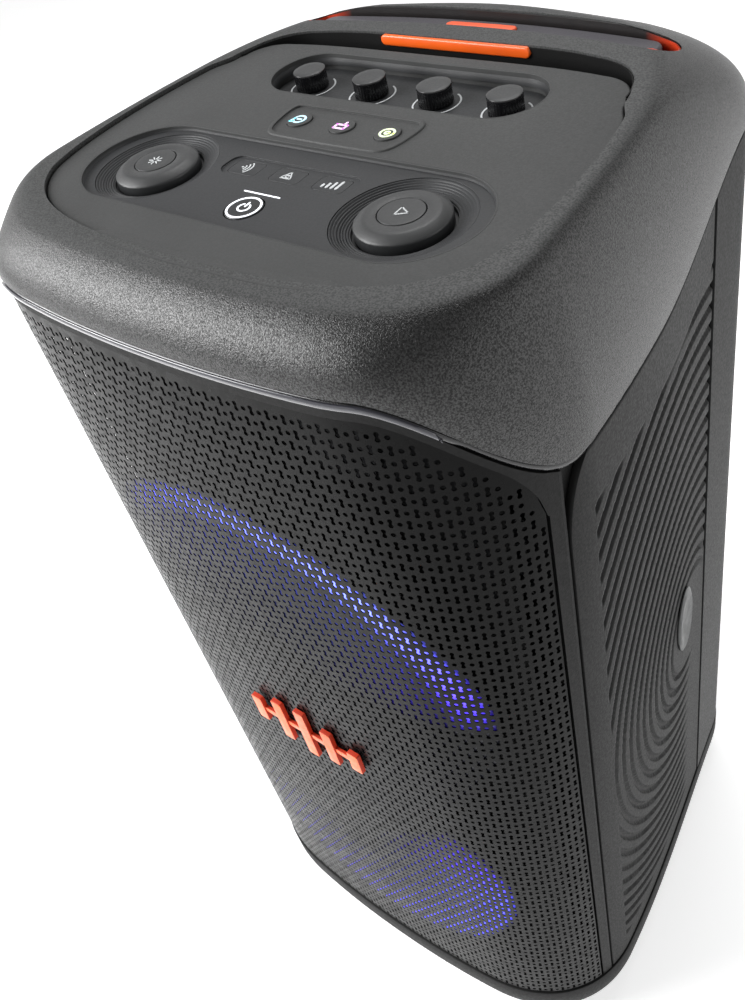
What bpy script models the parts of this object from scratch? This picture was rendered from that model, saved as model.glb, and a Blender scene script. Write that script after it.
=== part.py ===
"""Party speaker with a telescopic handle, two woofers, light rings, rear wheels and a control panel.

Metres, +Z up. The front faces -Y, the object rests on z = 0, and x = 0 is its mirror plane.
"""

import math

import bmesh
import bpy
import numpy as np

# Overall
WIDTH = 0.3345
FRONT_Y = -0.1865
REAR_Y = 0.140
GAP = 0.0003
STEP = 0.0001
ABOVE_Z = 0.680

# Head
DECK_Z = 0.6645
HEAD_WALL = 0.0035
HEAD_TURN = math.radians(62.0)
TRIM_FRONT_Z = 0.638
TRIM_SIDE_Z = 0.580
TRIM_REAR_Z = 0.608
TRIM_HEIGHT = 0.005

# Control panel
PANEL_Z = 0.6625
PANEL_FLOOR_Z = 0.6525
GAP_TIP = (0.1222, 0.0140)
POD_Z = 0.6602
POD_Y = -0.0914
POD_HALF_LENGTH = 0.082
POD_HALF_DEPTH = 0.035
DIAL_X = 0.0771
DIAL_RADIUS = 0.0215
DIAL_TOP_Z = 0.6630
DIAL_FLOOR_Z = 0.6545
DIAL_BUTTON_RADIUS = 0.0105
MIC_Y = 0.0117
MIC_STEP = 0.0206
MIC_RADIUS = 0.0090
MIC_TOP_Z = 0.6640
MIC_FLOOR_Z = 0.6540
FUNCTION_STEP = 0.0270
FUNCTION_Y = -0.0777
EFFECT_STEP = 0.0277
EFFECT_Y = -0.0360
EFFECT_PAD_Z = 0.6632
POWER_Y = -0.1085
POWER_RADIUS = 0.0095

# Carry bar, rear slot and telescopic handle
BAR_FRONT_Y = 0.0588
STRIP_HALF_LENGTH = 0.0448
STRIP_HALF_HEIGHT = 0.0028
STRIP_Z = 0.6612
SLOT_Y = 0.0850
SLOT_BEND = 0.70
SLOT_HALF_LENGTH = 0.1065
SLOT_HALF_DEPTH = 0.0108
LINER_WALL = 0.0010
WELL_WALL = 0.0025
WELL_FLOOR_Z = 0.622
GRIP_Y = 0.0844
GRIP_HALF_LENGTH = 0.0990
GRIP_HALF_DEPTH = 0.0084
GRIP_TOP_Z = 0.6597
BUTTON_HALF_LENGTH = 0.0195
BUTTON_HALF_DEPTH = 0.0031
GRIP_BOTTOM_Z = 0.640
RAIL_X = 0.078
RAIL_RADIUS = 0.0040
RAIL_BOTTOM_Z = 0.235
GUIDE_BOTTOM_Z = 0.222

# Cabinet
BASE_Z = 0.004
BASE_TOP_Z = 0.048
CABINET_BOTTOM_Z = 0.0325
GRILLE_EDGE = (0.1537, -0.1285)
PANEL_SEAM = (0.1588, -0.1215)
PANEL_REAR_Y = 0.066
BAFFLE_Y = -0.145
BAFFLE_THICKNESS = 0.012

# Drivers and lights
WOOFER_RADIUS = 0.0825
UPPER_Z = 0.440
LOWER_Z = 0.152
TWEETER_X = 0.060
TWEETER_Z = 0.574
RING_HALF_WIDTH = 0.124
RING_HALF_HEIGHT = 0.096

# Rear
PORT_Z = 0.505
PORT_RADIUS = 0.034
IO_Z = 0.360
IO_HALF_WIDTH = 0.058
IO_HALF_HEIGHT = 0.055

# Wheels
WHEEL_RADIUS = 0.045
WHEEL_X = 0.079
WHEEL_HALF_WIDTH = 0.018
AXLE_Y = REAR_Y + 0.0075
AXLE_Z = 0.0465
AXLE_RADIUS = 0.004
WELL_HALF_WIDTH = 0.0215
WELL_RADIUS = 0.0485

SPIN = 32

for leftover in list(bpy.data.objects):
    bpy.data.objects.remove(leftover, do_unlink=True)


# Materials and mesh tools


def material(name, colour, roughness, metallic=0.0, glow=0.0):
    made = bpy.data.materials.new(name)
    made.use_nodes = True
    shader = made.node_tree.nodes["Principled BSDF"]
    shader.inputs["Base Color"].default_value = (*colour, 1.0)
    shader.inputs["Roughness"].default_value = roughness
    shader.inputs["Metallic"].default_value = metallic
    shader.inputs["Emission Color"].default_value = (*colour, 1.0)
    shader.inputs["Emission Strength"].default_value = glow
    return made


LOOKS = {
    "satin_shell": ((0.045, 0.045, 0.048), 0.45),
    "matte_panel": ((0.030, 0.030, 0.032), 0.60),
    "soft_panel": ((0.040, 0.040, 0.042), 0.75),
    "gloss_trim": ((0.020, 0.020, 0.022), 0.15),
    "grille_metal": ((0.025, 0.025, 0.027), 0.40, 0.6),
    "rubber": ((0.020, 0.020, 0.020), 0.90),
    "orange": ((0.800, 0.130, 0.020), 0.35),
    "cone_paper": ((0.035, 0.035, 0.038), 0.80),
    "bright_metal": ((0.600, 0.600, 0.600), 0.25, 1.0),
    "cast_metal": ((0.120, 0.120, 0.120), 0.50, 1.0),
    "circuit": ((0.020, 0.110, 0.050), 0.55),
    "light_guide": ((0.180, 0.200, 0.900), 0.30, 0.0, 2.0),
}


def build_mesh(name, points, faces, look):
    """A new object holding this mesh, with a material of its own and its faces outward."""
    mesh = bpy.data.meshes.new(name)
    mesh.from_pydata([tuple(map(float, point)) for point in points], [], faces)
    shape = bmesh.new()
    shape.from_mesh(mesh)
    if shape.calc_volume(signed=True) < 0.0:
        bmesh.ops.reverse_faces(shape, faces=shape.faces)
    shape.to_mesh(mesh)
    shape.free()
    mesh.update()
    mesh.materials.append(material(name + "_look", *LOOKS[look]))
    made = bpy.data.objects.new(name, mesh)
    bpy.context.scene.collection.objects.link(made)
    return made


def loft(name, rings, look, closed=False):
    """Joins rings of equal length, bottom to top. A closed loft joins the last ring to the first."""
    count = len(rings[0])
    points = np.concatenate(rings)
    steps = len(rings) if closed else len(rings) - 1
    faces = []
    for level in range(steps):
        low = level * count
        high = (level + 1) % len(rings) * count
        for here in range(count):
            after = (here + 1) % count
            faces.append((low + here, low + after, high + after, high + here))
    if not closed:
        faces.append(tuple(reversed(range(count))))
        faces.append(tuple(range(len(points) - count, len(points))))
    return build_mesh(name, points, faces, look)


def level(outline, z):
    """An outline lifted to height z, which is one number or one for each point."""
    heights = np.broadcast_to(z, (len(outline),))
    return np.column_stack([outline, heights])


def prism(name, outline, low, high, look, bevel=0.0):
    """Extrudes a counter-clockwise outline, with an optional chamfer on its top edge."""
    rings = [level(outline, low), level(outline, high - bevel)]
    if bevel:
        rings.append(level(inset(outline, bevel), high))
    return loft(name, rings, look)


def turn(name, profile, look, centre=(0.0, 0.0, 0.0), axis="Z", steps=SPIN):
    """Revolves (radius, height) pairs. Zero radii become poles, and other profiles close on themselves."""
    angles = np.linspace(0.0, 2.0 * math.pi, steps, endpoint=False)
    points = []
    rows = []
    for radius, height in profile:
        if radius == 0.0:
            rows.append([len(points)])
            points.append((0.0, 0.0, height))
            continue
        rows.append(list(range(len(points), len(points) + steps)))
        points.extend((radius * math.cos(a), radius * math.sin(a), height) for a in angles)
    pairs = list(zip(rows[:-1], rows[1:]))
    if len(rows[0]) > 1:
        pairs.append((rows[-1], rows[0]))
    faces = []
    for low, high in pairs:
        for here in range(steps):
            after = (here + 1) % steps
            corners = [low[here % len(low)], low[after % len(low)], high[after % len(high)], high[here % len(high)]]
            faces.append(tuple(dict.fromkeys(corners)))
    turned = np.array(points)
    if axis == "X":
        turned = turned[:, [2, 0, 1]]
    if axis == "-Y":
        turned = turned[:, [0, 2, 1]] * (1.0, -1.0, 1.0)
    return build_mesh(name, turned + centre, faces, look)


def block(name, low, high, look):
    """An axis-aligned box between two corners."""
    outline = np.array([(low[0], low[1]), (high[0], low[1]), (high[0], high[1]), (low[0], high[1])])
    return prism(name, outline, low[2], high[2], look)


def combine(target, operation, *others):
    """Applies Booleans to target and removes the other objects."""
    for other in others:
        modifier = target.modifiers.new(other.name, "BOOLEAN")
        modifier.operation = operation
        modifier.solver = "EXACT"
        modifier.object = other
    graph = bpy.context.evaluated_depsgraph_get()
    result = bpy.data.meshes.new_from_object(target.evaluated_get(graph))
    target.modifiers.clear()
    result.materials.clear()
    result.materials.append(target.data.materials[0])
    target.data = result
    for polygon in result.polygons:
        polygon.material_index = 0
    for other in others:
        bpy.data.objects.remove(other, do_unlink=True)
    return target


def cut(target, *tools):
    return combine(target, "DIFFERENCE", *tools)


def join(target, *parts):
    return combine(target, "UNION", *parts)


def set_origin(made, centre):
    """Moves an object's origin without moving its shape."""
    made.data.transform(made.matrix_world.inverted())
    shift = np.array(centre, dtype=float)
    for vertex in made.data.vertices:
        vertex.co = [value - move for value, move in zip(vertex.co, shift)]
    made.location = shift
    return made


# Outlines


def bezier(start, first, second, end, count):
    """Points along a cubic Bezier curve, leaving out its end."""
    t = np.linspace(0.0, 1.0, count, endpoint=False)[:, None]
    weights = ((1 - t) ** 3, 3 * t * (1 - t) ** 2, 3 * t * t * (1 - t), t**3)
    return sum(w * np.array(p) for w, p in zip(weights, (start, first, second, end)))


def mirrored(half):
    """A closed counter-clockwise outline from its right half, which runs from the front to the rear."""
    left = half[-2:0:-1] * (-1.0, 1.0)
    return np.concatenate([half, left])


def normals(outline):
    """Outward unit normals of a counter-clockwise outline."""
    along = np.roll(outline, -1, axis=0) - np.roll(outline, 1, axis=0)
    outward = np.column_stack([along[:, 1], -along[:, 0]])
    return outward / np.linalg.norm(outward, axis=1)[:, None]


def inset(outline, distance):
    """The outline moved inward. A negative distance moves it outward."""
    return outline - normals(outline) * distance


def circle(radius, x=0.0, y=0.0, steps=SPIN):
    angles = np.linspace(0.0, 2.0 * math.pi, steps, endpoint=False)
    return np.column_stack([x + radius * np.cos(angles), y + radius * np.sin(angles)])


def ribbon(line, half_width, steps=8):
    """A counter-clockwise outline at one distance around an open line, with round ends."""
    along = np.gradient(line, axis=0)
    along /= np.linalg.norm(along, axis=1)[:, None]
    right = np.column_stack([along[:, 1], -along[:, 0]])
    turns = np.linspace(0.0, math.pi, steps + 1)[1:-1, None]
    far = line[-1] + half_width * (np.cos(turns) * right[-1] + np.sin(turns) * along[-1])
    near = line[0] - half_width * (np.cos(turns) * right[0] + np.sin(turns) * along[0])
    return np.concatenate([line + right * half_width, far, line[::-1] - right[::-1] * half_width, near])


def straight_ribbon(half_length, half_width, x=0.0, y=0.0):
    return ribbon(np.array([(x - half_length, y), (x + half_length, y)]), half_width)


def rounded_rectangle(half_width, half_depth, radius, x=0.0, y=0.0, steps=4):
    corners = [(1, -1, -90), (1, 1, 0), (-1, 1, 90), (-1, -1, 180)]
    points = []
    for across, up, start in corners:
        for angle in np.radians(np.linspace(start, start + 90, steps + 1)):
            points.append((x + across * (half_width - radius) + radius * math.cos(angle),
                           y + up * (half_depth - radius) + radius * math.sin(angle)))
    return np.array(points)


def body_outline():
    """The widest plan of the body: a bowed front, full front corners and sides that close to the rear."""
    bow = np.array([(0.0, FRONT_Y), (0.030, -0.1859), (0.062, -0.1841)])
    half_width = WIDTH / 2
    return mirrored(np.concatenate([
        bow,
        bezier((0.092, -0.1812), (0.1390, -0.1750), (0.1690, -0.1440), (half_width, -0.100), 10),
        bezier((half_width, -0.100), (0.1630, -0.030), (0.1480, 0.040), (0.1380, 0.108), 8),
        bezier((0.1380, 0.108), (0.1345, 0.130), (0.1260, REAR_Y), (0.1060, REAR_Y), 6),
        np.array([(0.106, REAR_Y), (0.053, REAR_Y), (0.0, REAR_Y)]),
    ]))


def deck_outline():
    """The crease round the head's flat top, point for point with body_outline."""
    front = np.array([(0.0, -0.1635), (0.027, -0.1632), (0.056, -0.1620)])
    return mirrored(np.concatenate([
        front,
        bezier((0.082, -0.1590), (0.1200, -0.1520), (0.1490, -0.1340), (0.1480, -0.100), 10),
        bezier((0.1480, -0.100), (0.1465, -0.060), (0.1415, -0.020), (0.1350, 0.0090), 8),
        bezier((0.1350, 0.0090), (0.1290, 0.0330), (0.1160, 0.0780), (0.0740, 0.0930), 6),
        np.array([(0.0740, 0.0930), (0.0370, 0.1020), (0.0, 0.1045)]),
    ]))


def panel_outline():
    """The control panel, rounder than the deck in front, with a gentle bow along its rear edge."""
    return mirrored(np.concatenate([
        np.array([(0.0, -0.1545), (0.029, -0.1540)]),
        bezier((0.058, -0.1519), (0.0900, -0.1470), (0.1170, -0.1400), (0.1300, -0.1150), 6),
        bezier((0.1300, -0.1150), (0.1400, -0.0880), (0.1370, -0.0400), (0.1290, 0.0), 6),
        bezier((0.1290, 0.0), (0.1275, 0.0060), (0.1240, 0.0090), GAP_TIP, 2),
        bezier(GAP_TIP, (0.1205, 0.0270), (0.1150, 0.0395), (0.0980, 0.0405), 5),
        bezier((0.0980, 0.0405), (0.0800, 0.0432), (0.0600, 0.0437), (0.0300, 0.0436), 3),
        np.array([(0.0300, 0.0436), (0.0, 0.0436)]),
    ]))


def gap_outline():
    """The U-shaped finger gap: from just under the control panel's rear edge to the carry bar."""
    rear = np.concatenate([
        bezier((0.1200, 0.0190), (0.1195, 0.0340), (0.1110, 0.0500), (0.0900, 0.0540), 6),
        bezier((0.0900, 0.0540), (0.0760, 0.0572), (0.0640, BAR_FRONT_Y), (0.0500, BAR_FRONT_Y), 4),
        np.array([(0.0500, BAR_FRONT_Y)]),
    ])
    front = np.array([(0.0, 0.0424), (0.030, 0.0424), (0.060, 0.0423), (0.080, 0.0412), (0.097, 0.0393),
                      (0.109, 0.0350), (0.116, 0.0270)])
    left = (-1.0, 1.0)
    return np.concatenate([front, rear, rear[::-1] * left, front[:0:-1] * left])


def slot_line(half_length, y):
    """The curve that the rear slot and the grip follow, bending forward at both ends."""
    x = np.linspace(-half_length, half_length, 13)
    return np.column_stack([x, y - SLOT_BEND * x * x])


BODY = body_outline()
DECK = deck_outline()


# Walls along the body


def place_of(x, y):
    """The place on BODY nearest to (x, y), as a share of the way round counted in BODY's points."""
    after = np.roll(BODY, -1, axis=0)
    share = np.linspace(0.0, 1.0, 12, endpoint=False)[None, :, None]
    dense = (BODY[:, None] * (1 - share) + after[:, None] * share).reshape(-1, 2)
    nearest = np.argmin(np.hypot(dense[:, 0] - x, dense[:, 1] - y))
    return nearest / len(dense)


def at(places, distance):
    """Points at shares of the way round BODY, moved inward by one distance or one for each point."""
    steps = np.arange(len(BODY) + 1) / len(BODY)
    lane = normals(BODY)
    corners = (BODY[:, 0], BODY[:, 1], lane[:, 0], lane[:, 1])
    x, y, out_x, out_y = (np.interp(places % 1.0, steps, np.append(c, c[0])) for c in corners)
    return np.column_stack([x - out_x * distance, y - out_y * distance])


def smooth(value):
    share = np.clip(value, 0.0, 1.0)
    return share * share * (3.0 - 2.0 * share)


def trim_height(places):
    """Height of the head's lower edge: high in front, dipping at the sides, rising again to the rear."""
    side = np.minimum(places % 1.0, 1.0 - places % 1.0)
    corner = smooth((side - place_of(0.108, -0.179)) / (place_of(0.1672, -0.110) - place_of(0.108, -0.179)))
    rear = smooth((side - place_of(0.160, -0.030)) / (place_of(0.137, 0.115) - place_of(0.160, -0.030)))
    return TRIM_FRONT_Z + (TRIM_SIDE_Z - TRIM_FRONT_Z) * corner + (TRIM_REAR_Z - TRIM_SIDE_Z) * rear


def wall(name, places, outer, inner, low, high, look, closed=False):
    """A wall along BODY between two insets and two heights, each one number or one for each place."""
    outside = at(places, outer)
    inside = at(places, inner)
    ring = [level(outside, low), level(outside, high), level(inside, high), level(inside, low)]
    sections = [np.array(corners) for corners in zip(*ring)]
    return loft(name, sections, look, closed)


EDGE = place_of(*GRILLE_EDGE)
SEAM = place_of(*PANEL_SEAM)
TAIL = place_of(0.1432, PANEL_REAR_Y)
STATIONS = np.arange(len(BODY)) / len(BODY)
STATION = 1.0 / len(BODY)


def run(start, end):
    """Places from start to end, using BODY's own points between them."""
    first = math.ceil(start / STATION + STEP)
    last = math.floor(end / STATION - STEP)
    return np.array([start, *(np.arange(first, last + 1) * STATION), end])


def under_trim(places, clearance=GAP):
    return trim_height(places) - TRIM_HEIGHT - clearance


# Head


def head_rings(outside, deck, deck_z):
    """Rings from the head's lower edge, up round its shoulder, to its flat top."""
    low = trim_height(STATIONS)
    rings = []
    for turned in np.linspace(0.0, HEAD_TURN, 8):
        share = (1 - math.cos(turned)) / (1 - math.cos(HEAD_TURN))
        rise = math.sin(turned) / math.sin(HEAD_TURN)
        plan = outside * (1 - share) + deck * share
        rings.append(level(plan, low + (deck_z - low) * rise))
    return rings


def head_solid(lift):
    """The head filled in, moved up by lift, to trim what lies under its curved top."""
    rings = [level(BODY, WELL_FLOOR_Z - 0.10)] + head_rings(BODY, DECK, DECK_Z)
    return loft("head_solid", [ring + (0.0, 0.0, lift) for ring in rings], "satin_shell")


def build_head():
    """A hollow cap with a seat for the control panel, the finger gap and the handle's slot."""
    outline = panel_outline()
    outer = head_rings(BODY, DECK, DECK_Z)
    inner = head_rings(inset(BODY, HEAD_WALL), inset(DECK, HEAD_WALL), DECK_Z - HEAD_WALL)
    shell = loft("head_shell", inner[::-1] + outer, "satin_shell")

    under_deck = DECK_Z - 0.0012
    around_slot = slot_line(SLOT_HALF_LENGTH, SLOT_Y)
    ledge = prism("ledge", inset(outline, -0.003), PANEL_FLOOR_Z - 0.005, under_deck, "satin_shell")
    well_floor = WELL_FLOOR_Z - 0.003
    gap_block = prism("gap_block", inset(gap_outline(), -WELL_WALL), well_floor, ABOVE_Z, "satin_shell")
    slot_block = prism("slot_block", ribbon(around_slot, SLOT_HALF_DEPTH + WELL_WALL), well_floor, ABOVE_Z,
                       "satin_shell")
    for block_under in (gap_block, slot_block):
        combine(block_under, "INTERSECT", head_solid(under_deck - DECK_Z))
    join(shell, ledge, gap_block, slot_block)

    window = prism("window", inset(outline, 0.005), PANEL_FLOOR_Z - 0.02, ABOVE_Z, "satin_shell")
    seat = prism("seat", inset(outline, -GAP), PANEL_FLOOR_Z - GAP, ABOVE_Z, "satin_shell")
    gap = prism("gap", gap_outline(), WELL_FLOOR_Z, ABOVE_Z, "satin_shell")
    slot = prism("slot", ribbon(around_slot, SLOT_HALF_DEPTH), WELL_FLOOR_Z, ABOVE_Z, "satin_shell")
    holes = rail_holes(WELL_FLOOR_Z - 0.01, WELL_FLOOR_Z + 0.01, RAIL_RADIUS + 0.0028)
    return cut(shell, seat, window, gap, slot, *holes)


def rail_y():
    return GRIP_Y - SLOT_BEND * RAIL_X * RAIL_X


def rail_holes(low, high, radius):
    """Two upright round cutters where the handle's rails pass."""
    made = []
    for side in (-1, 1):
        outline = circle(radius, side * RAIL_X, rail_y(), 20)
        made.append(prism("rail_hole", outline, low, high, "satin_shell"))
    return made


def build_carry_parts():
    strip = straight_ribbon(STRIP_HALF_LENGTH, STRIP_HALF_HEIGHT)
    upright = [np.column_stack([strip[:, 0], np.full(len(strip), y), strip[:, 1] + STRIP_Z])
               for y in (BAR_FRONT_Y - GAP, BAR_FRONT_Y - 0.0022)]
    loft("grip_strip", upright, "orange")

    line = slot_line(SLOT_HALF_LENGTH, SLOT_Y)
    tub = prism("slot_liner", ribbon(line, SLOT_HALF_DEPTH - GAP), WELL_FLOOR_Z + GAP, ABOVE_Z, "orange")
    hollow = prism("hollow", ribbon(line, SLOT_HALF_DEPTH - GAP - LINER_WALL), WELL_FLOOR_Z + 0.0018, ABOVE_Z,
                   "orange")
    combine(tub, "INTERSECT", head_solid(-0.0008))
    cut(tub, hollow, *rail_holes(WELL_FLOOR_Z - 0.01, WELL_FLOOR_Z + 0.01, RAIL_RADIUS + GAP))


def build_handle():
    shape = ribbon(slot_line(GRIP_HALF_LENGTH, GRIP_Y), GRIP_HALF_DEPTH)
    grip = prism("handle_grip", shape, GRIP_BOTTOM_Z, GRIP_TOP_Z, "satin_shell", 0.0012)
    button_line = slot_line(BUTTON_HALF_LENGTH, GRIP_Y)
    pocket_shape = ribbon(button_line, BUTTON_HALF_DEPTH)
    cut(grip, prism("pocket", pocket_shape, GRIP_TOP_Z - 0.0060, ABOVE_Z, "satin_shell"))
    button_shape = ribbon(button_line, BUTTON_HALF_DEPTH - GAP)
    prism("release_button", button_shape, GRIP_TOP_Z - 0.0025, GRIP_TOP_Z + 0.0012, "orange", 0.0006)
    for side, x in (("left", -RAIL_X), ("right", RAIL_X)):
        centre = (x, rail_y(), 0.0)
        rail = [(0.0, RAIL_BOTTOM_Z), (RAIL_RADIUS, RAIL_BOTTOM_Z),
                (RAIL_RADIUS, GRIP_BOTTOM_Z - GAP), (0.0, GRIP_BOTTOM_Z - GAP)]
        turn("handle_tube_" + side, rail, "bright_metal", centre, steps=20)
        outer = RAIL_RADIUS + 0.0025
        inner = RAIL_RADIUS + 0.0005
        top = WELL_FLOOR_Z - 0.003 - GAP
        guide = [(0.0, GUIDE_BOTTOM_Z), (outer, GUIDE_BOTTOM_Z), (outer, top),
                 (inner, top), (inner, GUIDE_BOTTOM_Z + 0.002), (0.0, GUIDE_BOTTOM_Z + 0.002)]
        turn("handle_guide_" + side, guide, "cast_metal", centre, steps=20)


# Controls


def key_outline(x):
    return rounded_rectangle(0.0090, 0.0058, 0.0025, x, FUNCTION_Y)


def effect_pad_outline():
    """A rounded trapezoid, wider towards the rear."""
    return mirrored(np.concatenate([
        np.array([(0.0, -0.0520), (0.020, -0.0518)]),
        bezier((0.0300, -0.0515), (0.0365, -0.0510), (0.0385, -0.0480), (0.0400, -0.0400), 4),
        bezier((0.0400, -0.0400), (0.0420, -0.0270), (0.0415, -0.0225), (0.0350, -0.0220), 4),
        np.array([(0.0350, -0.0220), (0.0, -0.0215)]),
    ]))


def build_panel():
    panel = prism("control_panel", panel_outline(), PANEL_FLOOR_Z, PANEL_Z, "soft_panel", 0.0006)
    pad = prism("pad", effect_pad_outline(), PANEL_Z - 0.002, EFFECT_PAD_Z, "soft_panel", 0.0005)
    join(panel, pad)
    pod = straight_ribbon(POD_HALF_LENGTH, POD_HALF_DEPTH, 0.0, POD_Y)
    pocket = straight_ribbon(0.0600, 0.0225, 0.0, MIC_Y)
    tools = [
        prism("pod_hole", pod, PANEL_FLOOR_Z - 0.01, ABOVE_Z, "soft_panel"),
        prism("mic_hole", pocket, PANEL_FLOOR_Z - 0.01, ABOVE_Z, "soft_panel"),
    ]
    for x in (-EFFECT_STEP, 0.0, EFFECT_STEP):
        hole = circle(0.0065 + GAP, x, EFFECT_Y, 20)
        tools.append(prism("effect_hole", hole, PANEL_Z - 0.0040, ABOVE_Z, "soft_panel"))
    cut(panel, *tools)

    plate = prism("control_pod", inset(pod, GAP), PANEL_FLOOR_Z, POD_Z, "matte_panel")
    tools = []
    for x in (-DIAL_X, DIAL_X):
        well = circle(DIAL_RADIUS + 0.0015, x, POD_Y, SPIN)
        tools.append(prism("well", well, DIAL_FLOOR_Z, ABOVE_Z, "matte_panel"))
    for x in (-FUNCTION_STEP, 0.0, FUNCTION_STEP):
        key = inset(key_outline(x), -GAP)
        tools.append(prism("key_hole", key, POD_Z - 0.0032, ABOVE_Z, "matte_panel"))
    power = circle(POWER_RADIUS + GAP, 0.0, POWER_Y, 24)
    tools.append(prism("power_hole", power, POD_Z - 0.0032, ABOVE_Z, "matte_panel"))
    cut(plate, *tools)

    mic_plate = inset(pocket, GAP)
    prism("mic_plate", mic_plate, PANEL_FLOOR_Z, MIC_FLOOR_Z, "matte_panel")


def build_controls():
    for name, x in (("light_dial", -DIAL_X), ("volume_dial", DIAL_X)):
        bore = DIAL_BUTTON_RADIUS + GAP
        low = DIAL_FLOOR_Z + GAP
        ring = [(bore, low), (DIAL_RADIUS, low), (DIAL_RADIUS, DIAL_TOP_Z - 0.0018),
                (DIAL_RADIUS - 0.0018, DIAL_TOP_Z), (bore, DIAL_TOP_Z)]
        set_origin(turn(name, ring, "matte_panel", (x, POD_Y, 0.0), steps=40), (x, POD_Y, low))
    for name, x in (("light_button", -DIAL_X), ("play_button", DIAL_X)):
        low = DIAL_FLOOR_Z + 0.0015
        top = DIAL_TOP_Z + 0.0002
        disc = [(0.0, low), (DIAL_BUTTON_RADIUS, low), (DIAL_BUTTON_RADIUS, top - 0.0005),
                (DIAL_BUTTON_RADIUS - 0.0005, top), (0.0, top)]
        set_origin(turn(name, disc, "matte_panel", (x, POD_Y, 0.0)), (x, POD_Y, top))
    for number, steps in enumerate((-3, -1, 1, 3), 1):
        x = steps * MIC_STEP
        low = MIC_FLOOR_Z + GAP
        knob = [(0.0, low), (MIC_RADIUS, low), (MIC_RADIUS, MIC_TOP_Z - 0.0012),
                (MIC_RADIUS - 0.0012, MIC_TOP_Z), (0.0, MIC_TOP_Z)]
        made = turn("mic_knob_" + str(number), knob, "matte_panel", (x, MIC_Y, 0.0), steps=24)
        set_origin(made, (x, MIC_Y, low))

    low = POD_Z - 0.0018
    top = POD_Z + 0.0004
    power = [(0.0, low), (POWER_RADIUS, low), (POWER_RADIUS, top), (0.0, top)]
    set_origin(turn("power_button", power, "matte_panel", (0.0, POWER_Y, 0.0), steps=24), (0.0, POWER_Y, top))
    for name, x in (("pairing_key", -FUNCTION_STEP), ("link_key", 0.0), ("boost_key", FUNCTION_STEP)):
        key = prism(name, key_outline(x), low, top, "matte_panel", 0.0003)
        set_origin(key, (x, FUNCTION_Y, top))
    for number, x in enumerate((-EFFECT_STEP, 0.0, EFFECT_STEP), 1):
        high = EFFECT_PAD_Z + 0.0003
        key = prism("effect_key_" + str(number), circle(0.0065, x, EFFECT_Y, 20), PANEL_Z - 0.0022,
                    high, "soft_panel", 0.0004)
        set_origin(key, (x, EFFECT_Y, high))


# Cabinet


def build_cabinet():
    ring = STATIONS
    band_low = trim_height(ring) - TRIM_HEIGHT
    wall("trim_band", ring, 0.0005, 0.0060, band_low, trim_height(ring) - GAP, "gloss_trim", True)

    front = np.concatenate([run(-EDGE + STEP, 0.0)[:-1], run(0.0, EDGE - STEP)])
    wall("front_grille", front, 0.0010, 0.0025, BASE_TOP_Z + GAP, under_trim(front), "grille_metal")
    for name, start, end in (("side_panel_right", SEAM, TAIL), ("side_panel_left", 1 - TAIL, 1 - SEAM)):
        side = run(start, end)
        wall(name, side, 0.0010, 0.0050, BASE_TOP_Z + GAP, under_trim(side), "matte_panel")

    gap = 0.0006
    lip = run(EDGE, SEAM - gap)
    around = run(SEAM - gap + STEP, 1 - SEAM + gap - STEP)
    places = np.concatenate([lip, around, 1.0 - lip[::-1]])
    proud = np.full(len(lip), 0.0012)
    outer = np.concatenate([proud, np.full(len(around), 0.0053), proud])
    inner = np.full(len(places), 0.0093)
    shell = wall("cabinet_shell", places, outer, inner, CABINET_BOTTOM_Z, under_trim(places), "matte_panel")
    low_lip = CABINET_BOTTOM_Z - 0.01
    foot_ring = [level(BODY, low_lip), level(BODY, BASE_TOP_Z + GAP)]
    inside = [level(inset(BODY, 0.0051), BASE_TOP_Z + GAP), level(inset(BODY, 0.0051), low_lip)]
    cut(shell, loft("lip_trim", foot_ring + inside, "matte_panel", True))
    cut(shell, *rear_openings(), *wheel_boxes(0.0035))

    back = run(TAIL + gap, 1 - TAIL - gap)
    cover = wall("rear_cover", back, 0.0005, 0.0050, BASE_TOP_Z + GAP, under_trim(back), "matte_panel")
    cut(cover, *rear_openings(), *wheel_boxes(0.0035))

    plan = [(0.0180, BASE_Z), (0.0110, 0.0065), (0.0050, 0.0125), (0.0015, 0.0210), (0.0, 0.0300),
            (0.0, BASE_TOP_Z), (0.0048, BASE_TOP_Z), (0.0048, 0.0320), (0.0105, 0.0320),
            (0.0130, 0.0180), (0.0190, 0.0100)]
    base = loft("base_plate", [level(inset(BODY, d), z) for d, z in plan], "matte_panel")
    join(base, *wheel_boxes(0.0030, True), *axle_housing())
    cut(base, *wheel_boxes(0.0), axle_rod(AXLE_RADIUS + GAP))
    for name, x in (("foot_left", -0.110), ("foot_right", 0.110)):
        shape = straight_ribbon(0.080, 0.007)[:, ::-1] * (-1.0, 1.0) + (x, -0.030)
        prism(name, shape, 0.0, BASE_Z - GAP, "rubber")


def rear_openings():
    """Cutters for the bass port and the connector panel."""
    radius = PORT_RADIUS + GAP
    profile = [(0.0, -0.16), (radius, -0.16), (radius, -0.10), (0.0, -0.10)]
    port = turn("port_hole", profile, "matte_panel", (0.0, 0.0, PORT_Z), "-Y", 30)
    low = (-IO_HALF_WIDTH, 0.10, IO_Z - IO_HALF_HEIGHT)
    high = (IO_HALF_WIDTH, 0.16, IO_Z + IO_HALF_HEIGHT)
    return port, block("io_hole", low, high, "matte_panel")


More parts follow.
